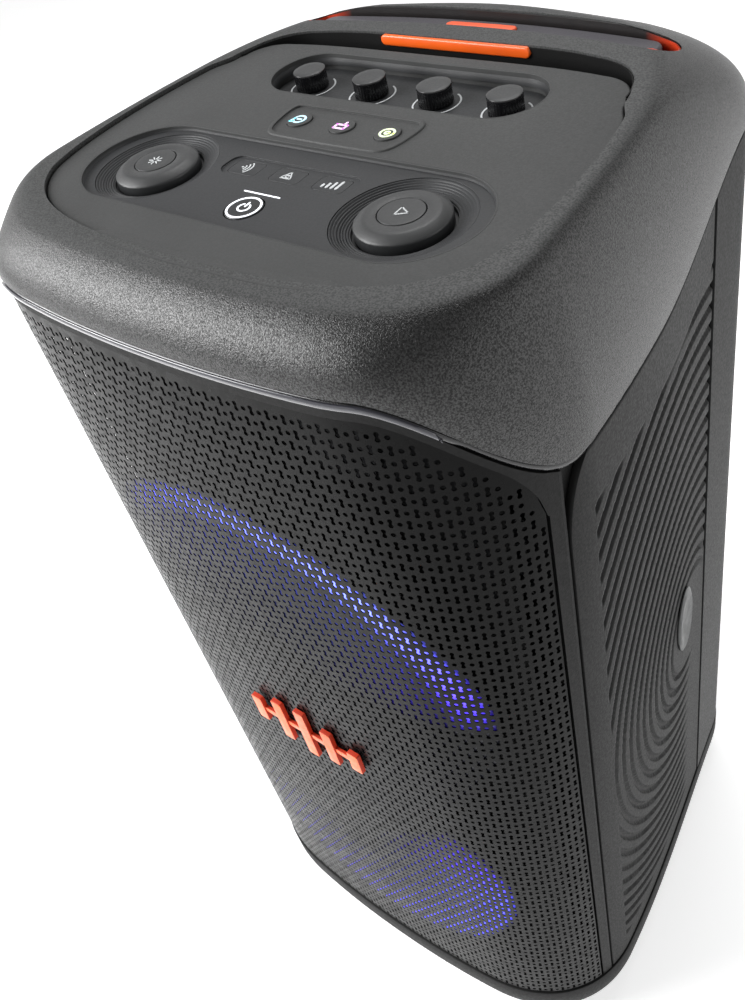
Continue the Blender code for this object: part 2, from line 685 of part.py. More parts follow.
def wheel_boxes(margin, inside=False):
    """One box round each wheel, grown by margin. Inside ones stop within the cabinet's rear wall."""
    made = []
    rear = REAR_Y - 0.0098 if inside else 0.25
    bottom = BASE_Z + 0.002 if inside else -0.02
    for x in (-WHEEL_X, WHEEL_X):
        across = WELL_HALF_WIDTH + margin
        low = (x - across, AXLE_Y - WELL_RADIUS - margin, bottom)
        high = (x + across, rear, AXLE_Z + WELL_RADIUS + margin)
        made.append(block("wheel_box", low, high, "matte_panel"))
    return made


def axle_housing():
    """The fairing between the wheels that carries the axle, as one low block and one tall block behind it."""
    low = AXLE_Z - 0.026
    half = WHEEL_X - WELL_HALF_WIDTH - 0.0010
    rear = AXLE_Y + 0.0075
    outline = rounded_rectangle(half, 0.0090, 0.0040, 0.0, rear - 0.0090)
    behind = np.column_stack([outline[:, 0], np.maximum(outline[:, 1], REAR_Y - 0.0002)])
    return (prism("housing", outline, low, BASE_TOP_Z, "matte_panel"),
            prism("housing_top", behind, low, AXLE_Z + 0.026, "matte_panel", 0.0))


def axle_rod(radius):
    half = WHEEL_X + WHEEL_HALF_WIDTH - 0.004
    profile = [(0.0, -half), (radius, -half), (radius, half), (0.0, half)]
    return turn("axle", profile, "bright_metal", (0.0, AXLE_Y, AXLE_Z), "X", 20)


# Front


def build_front():
    half_front = 0.1385
    half_back = 0.1425
    rear_y = BAFFLE_Y + BAFFLE_THICKNESS
    plan = np.array([(-half_front, BAFFLE_Y), (half_front, BAFFLE_Y), (half_back, rear_y), (-half_back, rear_y)])
    baffle = prism("front_baffle", plan, CABINET_BOTTOM_Z + 0.004, 0.606, "matte_panel")
    holes = [(0.0, UPPER_Z, 0.0745), (0.0, LOWER_Z, 0.0745), (-TWEETER_X, TWEETER_Z, 0.0200),
             (TWEETER_X, TWEETER_Z, 0.0200)]
    for x, z, radius in holes:
        profile = [(0.0, -0.05), (radius, -0.05), (radius, 0.05), (0.0, 0.05)]
        cut(baffle, turn("bore", profile, "matte_panel", (x, BAFFLE_Y, z), "-Y", 40))

    for name, z in (("upper", UPPER_Z), ("lower", LOWER_Z)):
        build_woofer(name, (0.0, BAFFLE_Y, z))
        build_light_guide("light_guide_" + name, z)
    for name, x in (("tweeter_left", -TWEETER_X), ("tweeter_right", TWEETER_X)):
        face = [(0.0, -0.018), (0.0180, -0.018), (0.0180, GAP), (0.0240, GAP), (0.0240, 0.0028),
                (0.0150, 0.0028), (0.0130, 0.0016), (0.0105, 0.0050), (0.0060, 0.0075), (0.0, 0.0084)]
        turn(name, face, "cone_paper", (x, BAFFLE_Y, TWEETER_Z), "-Y", 28)


def build_woofer(name, centre):
    """Basket with its magnet, a cone and the flexible surround between them. Heights run towards the front."""
    basket = [
        (0.0, -0.0850), (0.0420, -0.0850), (0.0420, -0.0580), (0.0700, -0.0200), (0.0730, -0.0060),
        (0.0730, GAP), (WOOFER_RADIUS, GAP), (WOOFER_RADIUS, 0.0032), (0.0705, 0.0032), (0.0705, -0.0060),
        (0.0670, -0.0190), (0.0395, -0.0550), (0.0, -0.0550)]
    turn("woofer_basket_" + name, basket, "cast_metal", centre, "-Y", 40)
    angles = np.linspace(math.pi, 0.0, 6)
    outer_edge = 0.0700
    inner_edge = 0.0585
    middle = (outer_edge + inner_edge) / 2
    half = (outer_edge - inner_edge) / 2
    crest = [(middle - half * math.cos(a), 0.0030 + 0.0052 * math.sin(a)) for a in angles[::-1]]
    trough = [(middle - (half - 0.0010) * math.cos(a), 0.0018 + 0.0048 * math.sin(a)) for a in angles]
    turn("woofer_surround_" + name, crest[::-1] + trough[::-1], "rubber", centre, "-Y", 40)
    cone = [(0.0, -0.0330), (0.0220, -0.0330), (0.0580, 0.0012), (0.0580, 0.0028),
            (0.0250, -0.0250), (0.0200, -0.0195), (0.0110, -0.0160), (0.0, -0.0148)]
    made = turn("woofer_cone_" + name, cone, "cone_paper", centre, "-Y", 40)
    set_origin(made, centre)


def build_light_guide(name, z):
    """An oval translucent tube that follows the bowed grille from behind."""
    around = np.linspace(0.0, 2.0 * math.pi, 48, endpoint=False)
    across = np.linspace(0.0, 2.0 * math.pi, 6, endpoint=False)
    front = inset(BODY, 0.0130)[: len(BODY) // 2]
    sections = []
    for angle in around:
        out = np.array([math.cos(angle), math.sin(angle)])
        x, up = out * (RING_HALF_WIDTH, RING_HALF_HEIGHT)
        y = np.interp(abs(x), front[:10, 0], front[:10, 1])
        section = []
        for turned in across:
            reach = 0.0035 * math.cos(turned)
            section.append((x + reach * out[0], y + 0.0030 * math.sin(turned), z + up + reach * out[1]))
        sections.append(np.array(section))
    loft(name, sections, "light_guide", True)


def build_badge():
    """Five rounded bars of different heights on one rail, a generic sound-level mark."""
    face_y = -0.1925
    back_y = FRONT_Y + 0.0010 - GAP
    rail = block("front_badge", (-0.046, back_y - 0.0020, 0.3295), (0.042, back_y, 0.3375), "orange")
    for step, height in enumerate((0.0120, 0.0200, 0.0235, 0.0165, 0.0095)):
        x = -0.0420 + 0.0200 * step
        shape = ribbon(np.array([(x, 0.3335 - height + 0.0045), (x, 0.3335 + height - 0.0045)]), 0.0045, 6)
        rings = [np.column_stack([shape[:, 0], np.full(len(shape), y), shape[:, 1]])
                 for y in (back_y - 0.0002, face_y)]
        join(rail, loft("bar", rings, "orange"))


# Rear, inside and wheels


def build_rear():
    skin = REAR_Y - 0.0005
    flange = PORT_RADIUS + 0.0060
    bore = PORT_RADIUS - 0.0030
    port = [(PORT_RADIUS, -0.0800), (PORT_RADIUS, 0.0), (flange, GAP), (flange, 0.0020),
            (PORT_RADIUS + 0.0010, 0.0026), (bore, -0.0080), (bore, -0.0800)]
    turn("bass_port", [(radius, -height) for radius, height in port[::-1]], "matte_panel",
         (0.0, skin, PORT_Z), "-Y")

    low = np.array([-IO_HALF_WIDTH + GAP, REAR_Y - 0.0090, IO_Z - IO_HALF_HEIGHT + GAP])
    high = np.array([IO_HALF_WIDTH - GAP, REAR_Y - 0.0030, IO_Z + IO_HALF_HEIGHT - GAP])
    panel = block("io_panel", low, high, "matte_panel")
    sockets = [(-0.036, 0.030, 0.0062), (-0.012, 0.030, 0.0062), (0.014, 0.030, 0.0030), (0.036, 0.030, 0.0030)]
    for x, z, radius in sockets:
        profile = [(0.0, -0.16), (radius, -0.16), (radius, -REAR_Y + 0.0060), (0.0, -REAR_Y + 0.0060)]
        cut(panel, turn("socket", profile, "matte_panel", (x, 0.0, IO_Z + z), "-Y", 24))
    cut(panel, block("usb", (-0.008, REAR_Y - 0.006, IO_Z - 0.003), (0.006, 0.16, IO_Z + 0.003), "matte_panel"))
    inlet_z = IO_Z - 0.032
    across = 0.0110
    up = 0.0070
    cut(panel, block("inlet_hole", (-across - GAP, 0.10, inlet_z - up - GAP),
                     (across + GAP, 0.16, inlet_z + up + GAP), "matte_panel"))
    inlet = block("ac_inlet", (-across, REAR_Y - 0.0220, inlet_z - up), (across, REAR_Y - 0.0030, inlet_z + up),
                  "matte_panel")
    shape = straight_ribbon(0.0042, 0.0042)
    rings = [np.column_stack([shape[:, 0], np.full(len(shape), y), shape[:, 1] + inlet_z])
             for y in (REAR_Y + 0.01, REAR_Y - 0.0150)]
    cut(inlet, loft("recess", rings, "matte_panel"))
    for x in (-0.0042, 0.0042):
        pin = [(0.0, -REAR_Y + 0.0045), (0.0012, -REAR_Y + 0.0045), (0.0012, -REAR_Y + 0.0160),
               (0.0, -REAR_Y + 0.0160)]
        join(inlet, turn("pin", pin, "bright_metal", (x, 0.0, inlet_z), "-Y", 12))


def build_inside():
    board = block("amplifier_board", (-0.055, 0.1080, 0.300), (0.055, 0.1096, 0.420), "circuit")
    chips = ((-0.030, 0.330, 0.012, 0.016), (0.010, 0.385, 0.014, 0.010), (0.034, 0.340, 0.009, 0.020))
    for x, z, half, depth in chips:
        join(board, block("chip", (x - half, 0.108 - depth, z - half), (x + half, 0.109, z + half), "circuit"))
    supply = block("power_supply", (-0.050, 0.0200, 0.270), (0.050, 0.0560, 0.350), "cast_metal")
    for z in np.arange(0.278, 0.345, 0.012):
        cut(supply, block("fin_gap", (-0.06, 0.050, z), (0.06, 0.070, z + 0.005), "cast_metal"))
    battery = rounded_rectangle(0.060, 0.024, 0.006, 0.0, 0.034)
    prism("battery_pack", battery, 0.034, 0.120, "rubber", 0.002)


def build_wheels():
    axle_rod(AXLE_RADIUS)
    for name, x in (("left", -WHEEL_X), ("right", WHEEL_X)):
        centre = (x, AXLE_Y, AXLE_Z)
        bore = AXLE_RADIUS + GAP
        half = WHEEL_HALF_WIDTH
        rim = 0.0330
        hub = [(bore, -half + 0.003), (0.0110, -half + 0.003), (0.0120, -half + 0.009), (0.0270, -half + 0.009),
               (0.0280, -half + 0.001), (rim, -half + 0.001), (rim, half - 0.001), (0.0280, half - 0.001),
               (0.0270, half - 0.009), (0.0120, half - 0.009), (0.0110, half - 0.003), (bore, half - 0.003)]
        set_origin(turn("wheel_hub_" + name, hub[::-1], "matte_panel", centre, "X"), centre)
        tread = WHEEL_RADIUS
        tyre = [(rim + GAP, -half + 0.001), (tread - 0.004, -half), (tread, -half + 0.004),
                (tread, half - 0.004), (tread - 0.004, half), (rim + GAP, half - 0.001)]
        set_origin(turn("wheel_tyre_" + name, tyre[::-1], "rubber", centre, "X"), centre)


build_head()
build_carry_parts()
build_handle()
build_panel()
build_controls()
build_cabinet()
build_front()
build_badge()
build_rear()
build_inside()
build_wheels()
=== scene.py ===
"""Looks for the party speaker: fine shells, perforated grille, ribbed sides, controls, lights and camera.

Metres, +Z up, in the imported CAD's frame. The front faces -Y.
"""

import math

import bmesh
import bpy
import numpy as np
from mathutils import Matrix, Vector


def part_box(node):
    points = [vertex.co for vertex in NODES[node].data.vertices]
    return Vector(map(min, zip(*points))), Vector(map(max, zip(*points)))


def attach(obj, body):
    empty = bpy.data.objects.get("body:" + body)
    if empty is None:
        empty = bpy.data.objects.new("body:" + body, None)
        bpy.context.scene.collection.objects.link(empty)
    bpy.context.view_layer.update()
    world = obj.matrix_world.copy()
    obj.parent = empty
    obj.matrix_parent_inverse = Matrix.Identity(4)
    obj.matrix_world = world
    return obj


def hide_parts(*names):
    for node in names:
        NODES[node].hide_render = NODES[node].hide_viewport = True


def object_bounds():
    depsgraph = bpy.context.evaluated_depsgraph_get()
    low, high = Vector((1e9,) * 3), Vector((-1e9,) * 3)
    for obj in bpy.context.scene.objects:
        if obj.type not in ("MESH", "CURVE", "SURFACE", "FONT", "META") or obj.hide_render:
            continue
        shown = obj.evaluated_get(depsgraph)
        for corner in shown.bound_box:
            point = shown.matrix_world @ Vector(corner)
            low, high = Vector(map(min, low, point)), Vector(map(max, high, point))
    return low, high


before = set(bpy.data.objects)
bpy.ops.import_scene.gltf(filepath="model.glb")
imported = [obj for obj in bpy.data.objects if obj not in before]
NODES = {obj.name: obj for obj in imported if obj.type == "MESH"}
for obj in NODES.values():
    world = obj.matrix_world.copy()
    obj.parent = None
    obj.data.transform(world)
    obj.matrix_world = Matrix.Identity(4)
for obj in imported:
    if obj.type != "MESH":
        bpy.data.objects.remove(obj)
CAD_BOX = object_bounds()

# Outline of the body and of the deck on top of it, each as Bezier spans from the front to the rear
FINE = 4
SPANS = (3, 10, 8, 6, 2)
FRONT_Y = -0.1865
REAR_Y = 0.140
HALF_WIDTH = CAD_BOX[1][0]
BODY_SPANS = (
    ((0.0, FRONT_Y), (0.031, FRONT_Y), (0.062, -0.1849), (0.092, -0.1812)),
    ((0.092, -0.1812), (0.1390, -0.1750), (0.1690, -0.1440), (HALF_WIDTH, -0.100)),
    ((HALF_WIDTH, -0.100), (0.1630, -0.030), (0.1480, 0.040), (0.1380, 0.108)),
    ((0.1380, 0.108), (0.1345, 0.130), (0.1260, REAR_Y), (0.1060, REAR_Y)),
    ((0.1060, REAR_Y), (0.0700, REAR_Y), (0.0350, REAR_Y), (0.0, REAR_Y)),
)
DECK_SPANS = (
    ((0.0, -0.1635), (0.028, -0.1635), (0.056, -0.1620), (0.082, -0.1590)),
    ((0.082, -0.1590), (0.1200, -0.1520), (0.1490, -0.1340), (0.1480, -0.100)),
    ((0.1480, -0.100), (0.1465, -0.060), (0.1415, -0.020), (0.1350, 0.0090)),
    ((0.1350, 0.0090), (0.1290, 0.0330), (0.1160, 0.0780), (0.0740, 0.0930)),
    ((0.0740, 0.0930), (0.0500, 0.0990), (0.0250, 0.1045), (0.0, 0.1045)),
)
DECK_Z = 0.6645
HEAD_WALL = 0.0035
HEAD_TURN = math.radians(62.0)
FILLET_TURN = math.radians(7.0)
FILLET_INSET = 0.0060
UNDER_DECK = 0.0012
WELL_WALL = 0.0025
WELL_FLOOR = 0.003
TUBE_HOLE = 0.0068
ABOVE_Z = 0.680
TRIM_FRONT_Z = 0.638
TRIM_SIDE_Z = 0.580
TRIM_REAR_Z = 0.608
BELOW_TRIM = 0.0030
BAND_RECESS = 0.0014
PANEL_Z = 0.6625
PANEL_FLOOR_Z = 0.6525
POD_Z = 0.6602
ROW_Z = POD_Z - 0.0008
KEY_WELL = 0.0032
BASE_TOP_Z = 0.048
ABOVE_BASE_Z = BASE_TOP_Z + 0.0008
GAP = 0.0003


def middle(node):
    return np.mean(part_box(node), axis=0)


# Places read from the frame
LIGHT_DIAL = middle("light_dial")
VOLUME_DIAL = middle("volume_dial")
MIC_KNOBS = [middle("mic_knob_%d" % number) for number in (1, 2, 3, 4)]
POWER = middle("power_button")

# The grip and its slot, and the finger gap in front of them
SLOT_BEND = 0.70
SLOT_Y = 0.0850
SLOT_HALF_LENGTH = 0.1065
SLOT_HALF_DEPTH = 0.0108
BAR_FRONT_Y = 0.0588
GAP_TIP = (0.1222, 0.0140)
GRIP_Y = 0.0844
GRIP_HALF_LENGTH = 0.0990
GRIP_HALF_DEPTH = 0.0084
BUTTON_HALF_LENGTH = 0.0195
BUTTON_HALF_DEPTH = 0.0031


# Procedural materials


class Shader:
    """A Principled material, with helpers that add nodes. Textures read object coordinates, in metres."""

    def __init__(self, name, colour, roughness, metallic=0.0, **sockets):
        self.material = bpy.data.materials.new(name)
        self.material.use_nodes = True
        self.tree = self.material.node_tree
        self.shader = self.tree.nodes["Principled BSDF"]
        self.colour = colour
        self.place = self.tree.nodes.new("ShaderNodeTexCoord").outputs["Object"]
        self.last_bump = None
        self.set("Base Color", (*colour, 1.0))
        self.set("Roughness", roughness)
        self.set("Metallic", metallic)
        for socket, value in sockets.items():
            self.set(socket.replace("_", " "), value)

    def set(self, socket, value):
        self.shader.inputs[socket].default_value = value

    def link(self, output, node, socket):
        self.tree.links.new(output, node.inputs[socket])

    def node(self, kind, **values):
        """A new node with these values in its sockets."""
        made = self.tree.nodes.new("ShaderNode" + kind)
        for socket, value in values.items():
            made.inputs[socket.replace("_", " ")].default_value = value
        return made

    def noise(self, scale, detail=3.0, stretch=None):
        texture = self.node("TexNoise", Scale=scale, Detail=detail)
        source = self.place
        if stretch:
            mapping = self.node("Mapping", Scale=stretch)
            self.link(source, mapping, "Vector")
            source = mapping.outputs["Vector"]
        self.link(source, texture, "Vector")
        return texture.outputs["Fac"]

    def cells(self, scale):
        texture = self.node("TexVoronoi")
        texture.feature = "SMOOTH_F1"
        texture.inputs["Scale"].default_value = scale
        self.link(self.place, texture, "Vector")
        return texture.outputs["Distance"]

    def axis(self, name):
        split = self.node("SeparateXYZ")
        self.link(self.place, split, "Vector")
        return split.outputs[name]

    def work(self, operation, *values):
        """One arithmetic node. Its values are numbers or other nodes' outputs."""
        made = self.node("Math")
        made.operation = operation
        for socket, value in enumerate(values):
            if isinstance(value, float):
                made.inputs[socket].default_value = value
            else:
                self.link(value, made, socket)
        return made.outputs[0]

    def spread(self, source, low, high, start=0.35, end=0.65):
        """Maps source from start..end to low..high."""
        ranger = self.node("MapRange", From_Min=start, From_Max=end, To_Min=low, To_Max=high)
        self.link(source, ranger, "Value")
        return ranger.outputs["Result"]

    def bump(self, source, depth, fade=None):
        """Raises the surface by source. Fade is the share of the bump that shows at each place."""
        made = self.node("Bump", Distance=depth, Strength=1.0)
        self.link(source, made, "Height")
        if fade:
            self.link(fade, made, "Strength")
        if self.last_bump:
            self.link(self.last_bump, made, "Normal")
        self.last_bump = made.outputs["Normal"]
        self.link(self.last_bump, self.shader, "Normal")
        return self

    def rough(self, source, low, high):
        self.link(self.spread(source, low, high), self.shader, "Roughness")
        return self

    def blend(self, source, low, high):
        """Takes the base colour from low to high as source goes from 0 to 1."""
        mix = self.node("Mix")
        mix.data_type = "RGBA"
        mix.inputs["A"].default_value = (*low, 1.0)
        mix.inputs["B"].default_value = (*high, 1.0)
        self.link(source, mix, "Factor")
        self.link(mix.outputs["Result"], self.shader, "Base Color")
        return self

    def vary(self, source, amount):
        """Darkens and lightens the base colour by amount where source is low and high."""
        darker = [c * (1 - amount) for c in self.colour]
        lighter = [min(1.0, c * (1 + amount)) for c in self.colour]
        return self.blend(self.spread(source, 0.0, 1.0), darker, lighter)


def grey(value):
    return (value, value, value)


def grained(name, colour, roughness, scale, depth, spread=0.10, **sockets):
    """Moulded plastic with an eroded grain."""
    made = Shader(name, colour, roughness, **sockets)
    grain = made.noise(scale, 4.0)
    made.bump(made.cells(scale * 0.8), depth * 0.6).bump(grain, depth)
    made.rough(made.noise(scale * 0.5, 5.0), roughness - spread, roughness + spread)
    made.vary(made.noise(14.0, 4.0), 0.10)
    return made.material


def head_material():
    """Coarse sparkling grain on the head's shoulder, fading to the fine grain of its flat top. The base
    colour holds painted light: the flat top is painted lighter than the dark shoulder of the same plastic,
    as if lit from above.
    """
    shoulder = grey(0.012)
    made = Shader("head_grain_painted_top_light", shoulder, 0.34)
    height = made.axis("Z")
    start = DECK_Z - 0.0024
    end = DECK_Z - 0.0006
    flat = made.spread(height, 0.0, 1.0, start, end)
    made.bump(made.noise(2100.0, 1.0), 0.00026, made.spread(height, 1.0, 0.14, start, end))
    sparkle = made.spread(made.noise(1250.0, 1.0), 0.28, 0.86, 0.36, 0.64)
    made.link(sparkle, made.shader, "Specular IOR Level")
    made.link(made.spread(flat, 0.32, 0.60, 0.0, 1.0), made.shader, "Roughness")
    # Painted light: the base colour goes from the dark shoulder to a lighter flat top, light from above
    # painted into one plastic.
    made.blend(flat, shoulder, (0.040, 0.041, 0.041))
    return made.material


def slot_material():
    """The slot's lining: orange, with painted shade that makes it near black along its middle; it stays
    dark orange at both ends, where light reaches it.
    """
    # Painted shade: the near-black colour stands for the shadow deep in the slot, and the orange at the
    # ends for its lit lining.
    black = (0.010, 0.008, 0.008)
    made = Shader("slot_orange_painted_shade", black, 0.42)
    away = made.work("ABSOLUTE", made.axis("X"))
    made.blend(made.spread(away, 0.0, 1.0, 0.094, 0.108), black, (0.62, 0.050, 0.012))
    made.bump(made.noise(1200.0, 2.0), 0.00003)
    return made.material


def painted(name, colour, roughness, **sockets):
    made = Shader(name, colour, roughness, **sockets)
    made.bump(made.noise(2200.0, 2.0), 0.00002)
    made.rough(made.noise(160.0, 4.0), roughness - 0.06, roughness + 0.08)
    made.vary(made.noise(30.0, 3.0), 0.12)
    return made.material


def brushed(name, colour, roughness):
    made = Shader(name, colour, roughness, 1.0)
    made.bump(made.noise(900.0, 3.0, (1.0, 1.0, 0.02)), 0.00002)
    made.rough(made.noise(300.0, 3.0, (1.0, 1.0, 0.03)), roughness - 0.08, roughness + 0.12)
    return made.material


def glowing(name, colour, strength):
    made = Shader(name, grey(0.8), 0.4)
    made.set("Emission Color", (*colour, 1.0))
    glow = made.spread(made.noise(420.0, 2.0), strength * 0.9, strength * 1.1)
    made.link(glow, made.shader, "Emission Strength")
    return made.material


LOOK = {
    "head": head_material(),
    "soft": grained("soft_panel_grain", (0.042, 0.043, 0.043), 0.60, 2000.0, 0.00007, 0.06),
    "pod": grained("pod_matte", (0.030, 0.031, 0.033), 0.50, 1800.0, 0.00003, 0.05, Specular_IOR_Level=0.4),
    "knob": grained("knob_satin", (0.020, 0.021, 0.022), 0.38, 1600.0, 0.00002, 0.05),
    "knob_top": grained("knob_top_satin", (0.040, 0.041, 0.042), 0.46, 1600.0, 0.00002, 0.05),
    "mic_side": grained("mic_knob_gloss", (0.006, 0.006, 0.007), 0.24, 1600.0, 0.00001, 0.04),
    "side": grained("side_matte", grey(0.009), 0.50, 1400.0, 0.00006, 0.07, IOR=1.22),
    "base": grained("base_matte", grey(0.012), 0.52, 1100.0, 0.00008, 0.07, IOR=1.22),
    "rear": grained("rear_matte", grey(0.013), 0.55, 1200.0, 0.00007, 0.07, Specular_IOR_Level=0.25),
    "gap": grained("recess_black", grey(0.004), 0.60, 1200.0, 0.00005, 0.05, Specular_IOR_Level=0.2),
    "trim": painted("trim_black", (0.008, 0.008, 0.009), 0.24, Coat_Weight=0.3),
    "gloss": painted("gloss_trim", (0.040, 0.040, 0.050), 0.14, Coat_Weight=0.8, Coat_Roughness=0.05),
    "grip": grained("grip_satin", (0.066, 0.062, 0.072), 0.42, 1800.0, 0.00003, 0.05),
    "grille": painted("grille_paint", grey(0.003), 0.28, IOR=1.16),
    "orange": painted("orange_gloss", (0.95, 0.130, 0.012), 0.36, Coat_Weight=0.2),
    "orange_red": painted("orange_red", (0.62, 0.040, 0.010), 0.42),
    "button": painted("button_orange", (0.90, 0.120, 0.040), 0.45),
    "slot": slot_material(),
    "rubber": grained("rubber_matte", grey(0.014), 0.80, 700.0, 0.00008, 0.08),
    "tyre": grained("tyre_rubber", grey(0.016), 0.72, 500.0, 0.00012, 0.08),
    "cone": grained("cone_pulp", (0.018, 0.018, 0.020), 0.75, 450.0, 0.00012, 0.10),
    "metal": brushed("brushed_aluminium", (0.62, 0.62, 0.64), 0.28),
    "dark_metal": brushed("dark_zinc", (0.16, 0.16, 0.17), 0.42),
    "circuit": painted("circuit_laminate", (0.015, 0.110, 0.045), 0.40),
    "mark": painted("grey_mark", (0.045, 0.048, 0.048), 0.38),
    "ink": painted("white_ink", (0.60, 0.62, 0.63), 0.50),
    "white_glow": glowing("white_light", (0.86, 0.90, 1.0), 1.1),
    "cyan_glow": glowing("cyan_light", (0.02, 0.42, 0.60), 0.9),
    "magenta_glow": glowing("magenta_light", (0.55, 0.08, 0.60), 0.9),
    "lime_glow": glowing("lime_light", (0.42, 0.62, 0.08), 0.9),
}


# Mesh tools


def add(name, points, faces, look, smooth=35.0):
    """A mesh, its faces outward where it is closed, and smooth but for its sharp edges."""
    mesh = bpy.data.meshes.new(name)
    mesh.from_pydata(np.asarray(points, dtype=float).tolist(), [], faces)
    shape = bmesh.new()
    shape.from_mesh(mesh)
    if shape.calc_volume(signed=True) < 0.0:
        bmesh.ops.reverse_faces(shape, faces=shape.faces)
    shape.to_mesh(mesh)
    shape.free()
    mesh.materials.append(LOOK[look])
    made = bpy.data.objects.new(name, mesh)
    bpy.context.scene.collection.objects.link(made)
    return shade(made, smooth)


def shade(made, angle):
    made.data.shade_smooth()
    if angle is not None:
        made.data.set_sharp_from_angle(angle=math.radians(angle))
    return made


def keep(made, body="body", *nodes):
    """Rides a piece on a body, in place of the CAD nodes that it stands for."""
    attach(made, body)
    if nodes:
        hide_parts(*nodes)
    return made


def loft(name, rings, look, closed=False, smooth=35.0):
    """Joins rings of equal length, bottom to top. A closed loft joins the last ring to the first."""
    count = len(rings[0])
    points = np.concatenate(rings)
    faces = []
    for step in range(len(rings) if closed else len(rings) - 1):
        low = step * count
        high = (step + 1) % len(rings) * count
        for here in range(count):
            after = (here + 1) % count
            faces.append((low + here, low + after, high + after, high + here))
    if not closed:
        faces.append(tuple(reversed(range(count))))
        faces.append(tuple(range(len(points) - count, len(points))))
    return add(name, points, faces, look, smooth)


def level(outline, z):
    """An outline seen from above, at height z."""
    return np.column_stack([outline, np.broadcast_to(z, (len(outline),))])


def upright(outline, y):
    """An outline seen from the front, at depth y."""
    return level(outline, y)[:, [0, 2, 1]]


def rounded_prism(name, outline, low, high, look, edge=0.0, steps=3, smooth=35.0):
    """Extrudes an outline, with a rounded top edge of this radius."""
    rings = [level(outline, low)]
    if edge:
        for turned in np.linspace(0.0, math.pi / 2, steps + 1):
            lane = inset(outline, edge * (1 - math.cos(turned)))
            rings.append(level(lane, high - edge + edge * math.sin(turned)))
    else:
        rings.append(level(outline, high))
    return loft(name, rings, look, smooth=smooth)


def cutter(outline, low, high=ABOVE_Z):
    """A block that only cuts, joins or trims, and then goes."""
    return rounded_prism("cutter", outline, low, high, "gap")


def turn(name, profile, look, centre=(0.0, 0.0, 0.0), axis="Z", steps=64, smooth=30.0):
    """Revolves (radius, height) pairs. Zero radii become poles, and other profiles close on themselves."""
    angles = np.linspace(0.0, 2.0 * math.pi, steps, endpoint=False)
    points = []
    rows = []
    for radius, height in profile:
        around = angles if radius else (0.0,)
        rows.append(list(range(len(points), len(points) + len(around))))
        points.extend((radius * math.cos(a), radius * math.sin(a), height) for a in around)
    pairs = list(zip(rows[:-1], rows[1:]))
    if len(rows[0]) > 1:
        pairs.append((rows[-1], rows[0]))
    faces = []
    for low, high in pairs:
        for here in range(steps):
            after = (here + 1) % steps
            corners = ((low, here), (low, after), (high, after), (high, here))
            faces.append(tuple(dict.fromkeys(row[place % len(row)] for row, place in corners)))
    turned = np.array(points)
    if axis == "X":
        turned = turned[:, [2, 0, 1]]
    if axis == "-Y":
        turned = turned[:, [0, 2, 1]] * (1.0, -1.0, 1.0)
    return add(name, turned + centre, faces, look, smooth)


def combine(target, operation, *others):
    """Applies Booleans to target and removes the other objects."""
    look = target.data.materials[0]
    for other in others:
        modifier = target.modifiers.new(other.name, "BOOLEAN")
        modifier.operation = operation
        modifier.solver = "EXACT"
        modifier.object = other
    graph = bpy.context.evaluated_depsgraph_get()
    result = bpy.data.meshes.new_from_object(target.evaluated_get(graph))
    target.modifiers.clear()
    result.materials.clear()
    result.materials.append(look)
    result.polygons.foreach_set("material_index", [0] * len(result.polygons))
    target.data = result
    for other in others:
        bpy.data.objects.remove(other, do_unlink=True)
    return target


UP = Vector((0.0, 0.0, 1.0))
FRONT = Vector((0.0, -1.0, 0.0))
BACK = Vector((0.0, 1.0, 0.0))


def two_tone(made, look, axis, limit):
    """Gives a second material to the faces that point along a unit vector by more than limit."""
    made.data.materials.append(LOOK[look])
    for face in made.data.polygons:
        if face.normal.dot(axis) > limit:
            face.material_index = 1
    return made


def cut(target, *tools):
    return combine(target, "DIFFERENCE", *tools)


def join(target, *parts):
    return combine(target, "UNION", *parts)


def soften(made, width, angle=40.0, segments=2):
    """Rounds the sharp edges of a finished piece."""
    modifier = made.modifiers.new("soft_edges", "BEVEL")
    modifier.width = width
    modifier.segments = segments
    modifier.limit_method = "ANGLE"
    modifier.angle_limit = math.radians(angle)
    modifier.use_clamp_overlap = True
    modifier.harden_normals = True
    return made


# Outlines


def bezier(start, first, second, end, count, whole=False):
    t = np.linspace(0.0, 1.0, count + 1 if whole else count, endpoint=whole)[:, None]
    weights = ((1 - t) ** 3, 3 * t * (1 - t) ** 2, 3 * t * t * (1 - t), t**3)
    return sum(w * np.array(p) for w, p in zip(weights, (start, first, second, end)))


def mirrored(half):
    """A closed counter-clockwise outline from its right half, which runs from the front to the rear."""
    return np.concatenate([half, half[-2:0:-1] * (-1.0, 1.0)])


def spanned(spans):
    pieces = [bezier(*span, count * FINE) for span, count in zip(spans, SPANS)]
    return mirrored(np.concatenate([*pieces, [spans[-1][-1]]]))


def normals(outline):
    along = np.roll(outline, -1, axis=0) - np.roll(outline, 1, axis=0)
    outward = np.column_stack([along[:, 1], -along[:, 0]])
    return outward / np.linalg.norm(outward, axis=1)[:, None]


def inset(outline, distance):
    return outline - normals(outline) * distance


def circle(radius, x=0.0, y=0.0, steps=64):
    angles = np.linspace(0.0, 2.0 * math.pi, steps, endpoint=False)
    return np.column_stack([x + radius * np.cos(angles), y + radius * np.sin(angles)])


def ribbon(line, half_width, steps=12):
    """A counter-clockwise outline at one distance around an open line, with round ends."""
    line = np.asarray(line, dtype=float)
    along = np.gradient(line, axis=0)
    along /= np.linalg.norm(along, axis=1)[:, None]
    right = np.column_stack([along[:, 1], -along[:, 0]])
    turns = np.linspace(0.0, math.pi, steps + 1)[1:-1, None]
    far = line[-1] + half_width * (np.cos(turns) * right[-1] + np.sin(turns) * along[-1])
    near = line[0] - half_width * (np.cos(turns) * right[0] + np.sin(turns) * along[0])
    return np.concatenate([line + right * half_width, far, line[::-1] - right[::-1] * half_width, near])


def straight_ribbon(half_length, half_width, x=0.0, y=0.0, steps=16):
    return ribbon([(x - half_length, y), (x, y), (x + half_length, y)], half_width, steps)


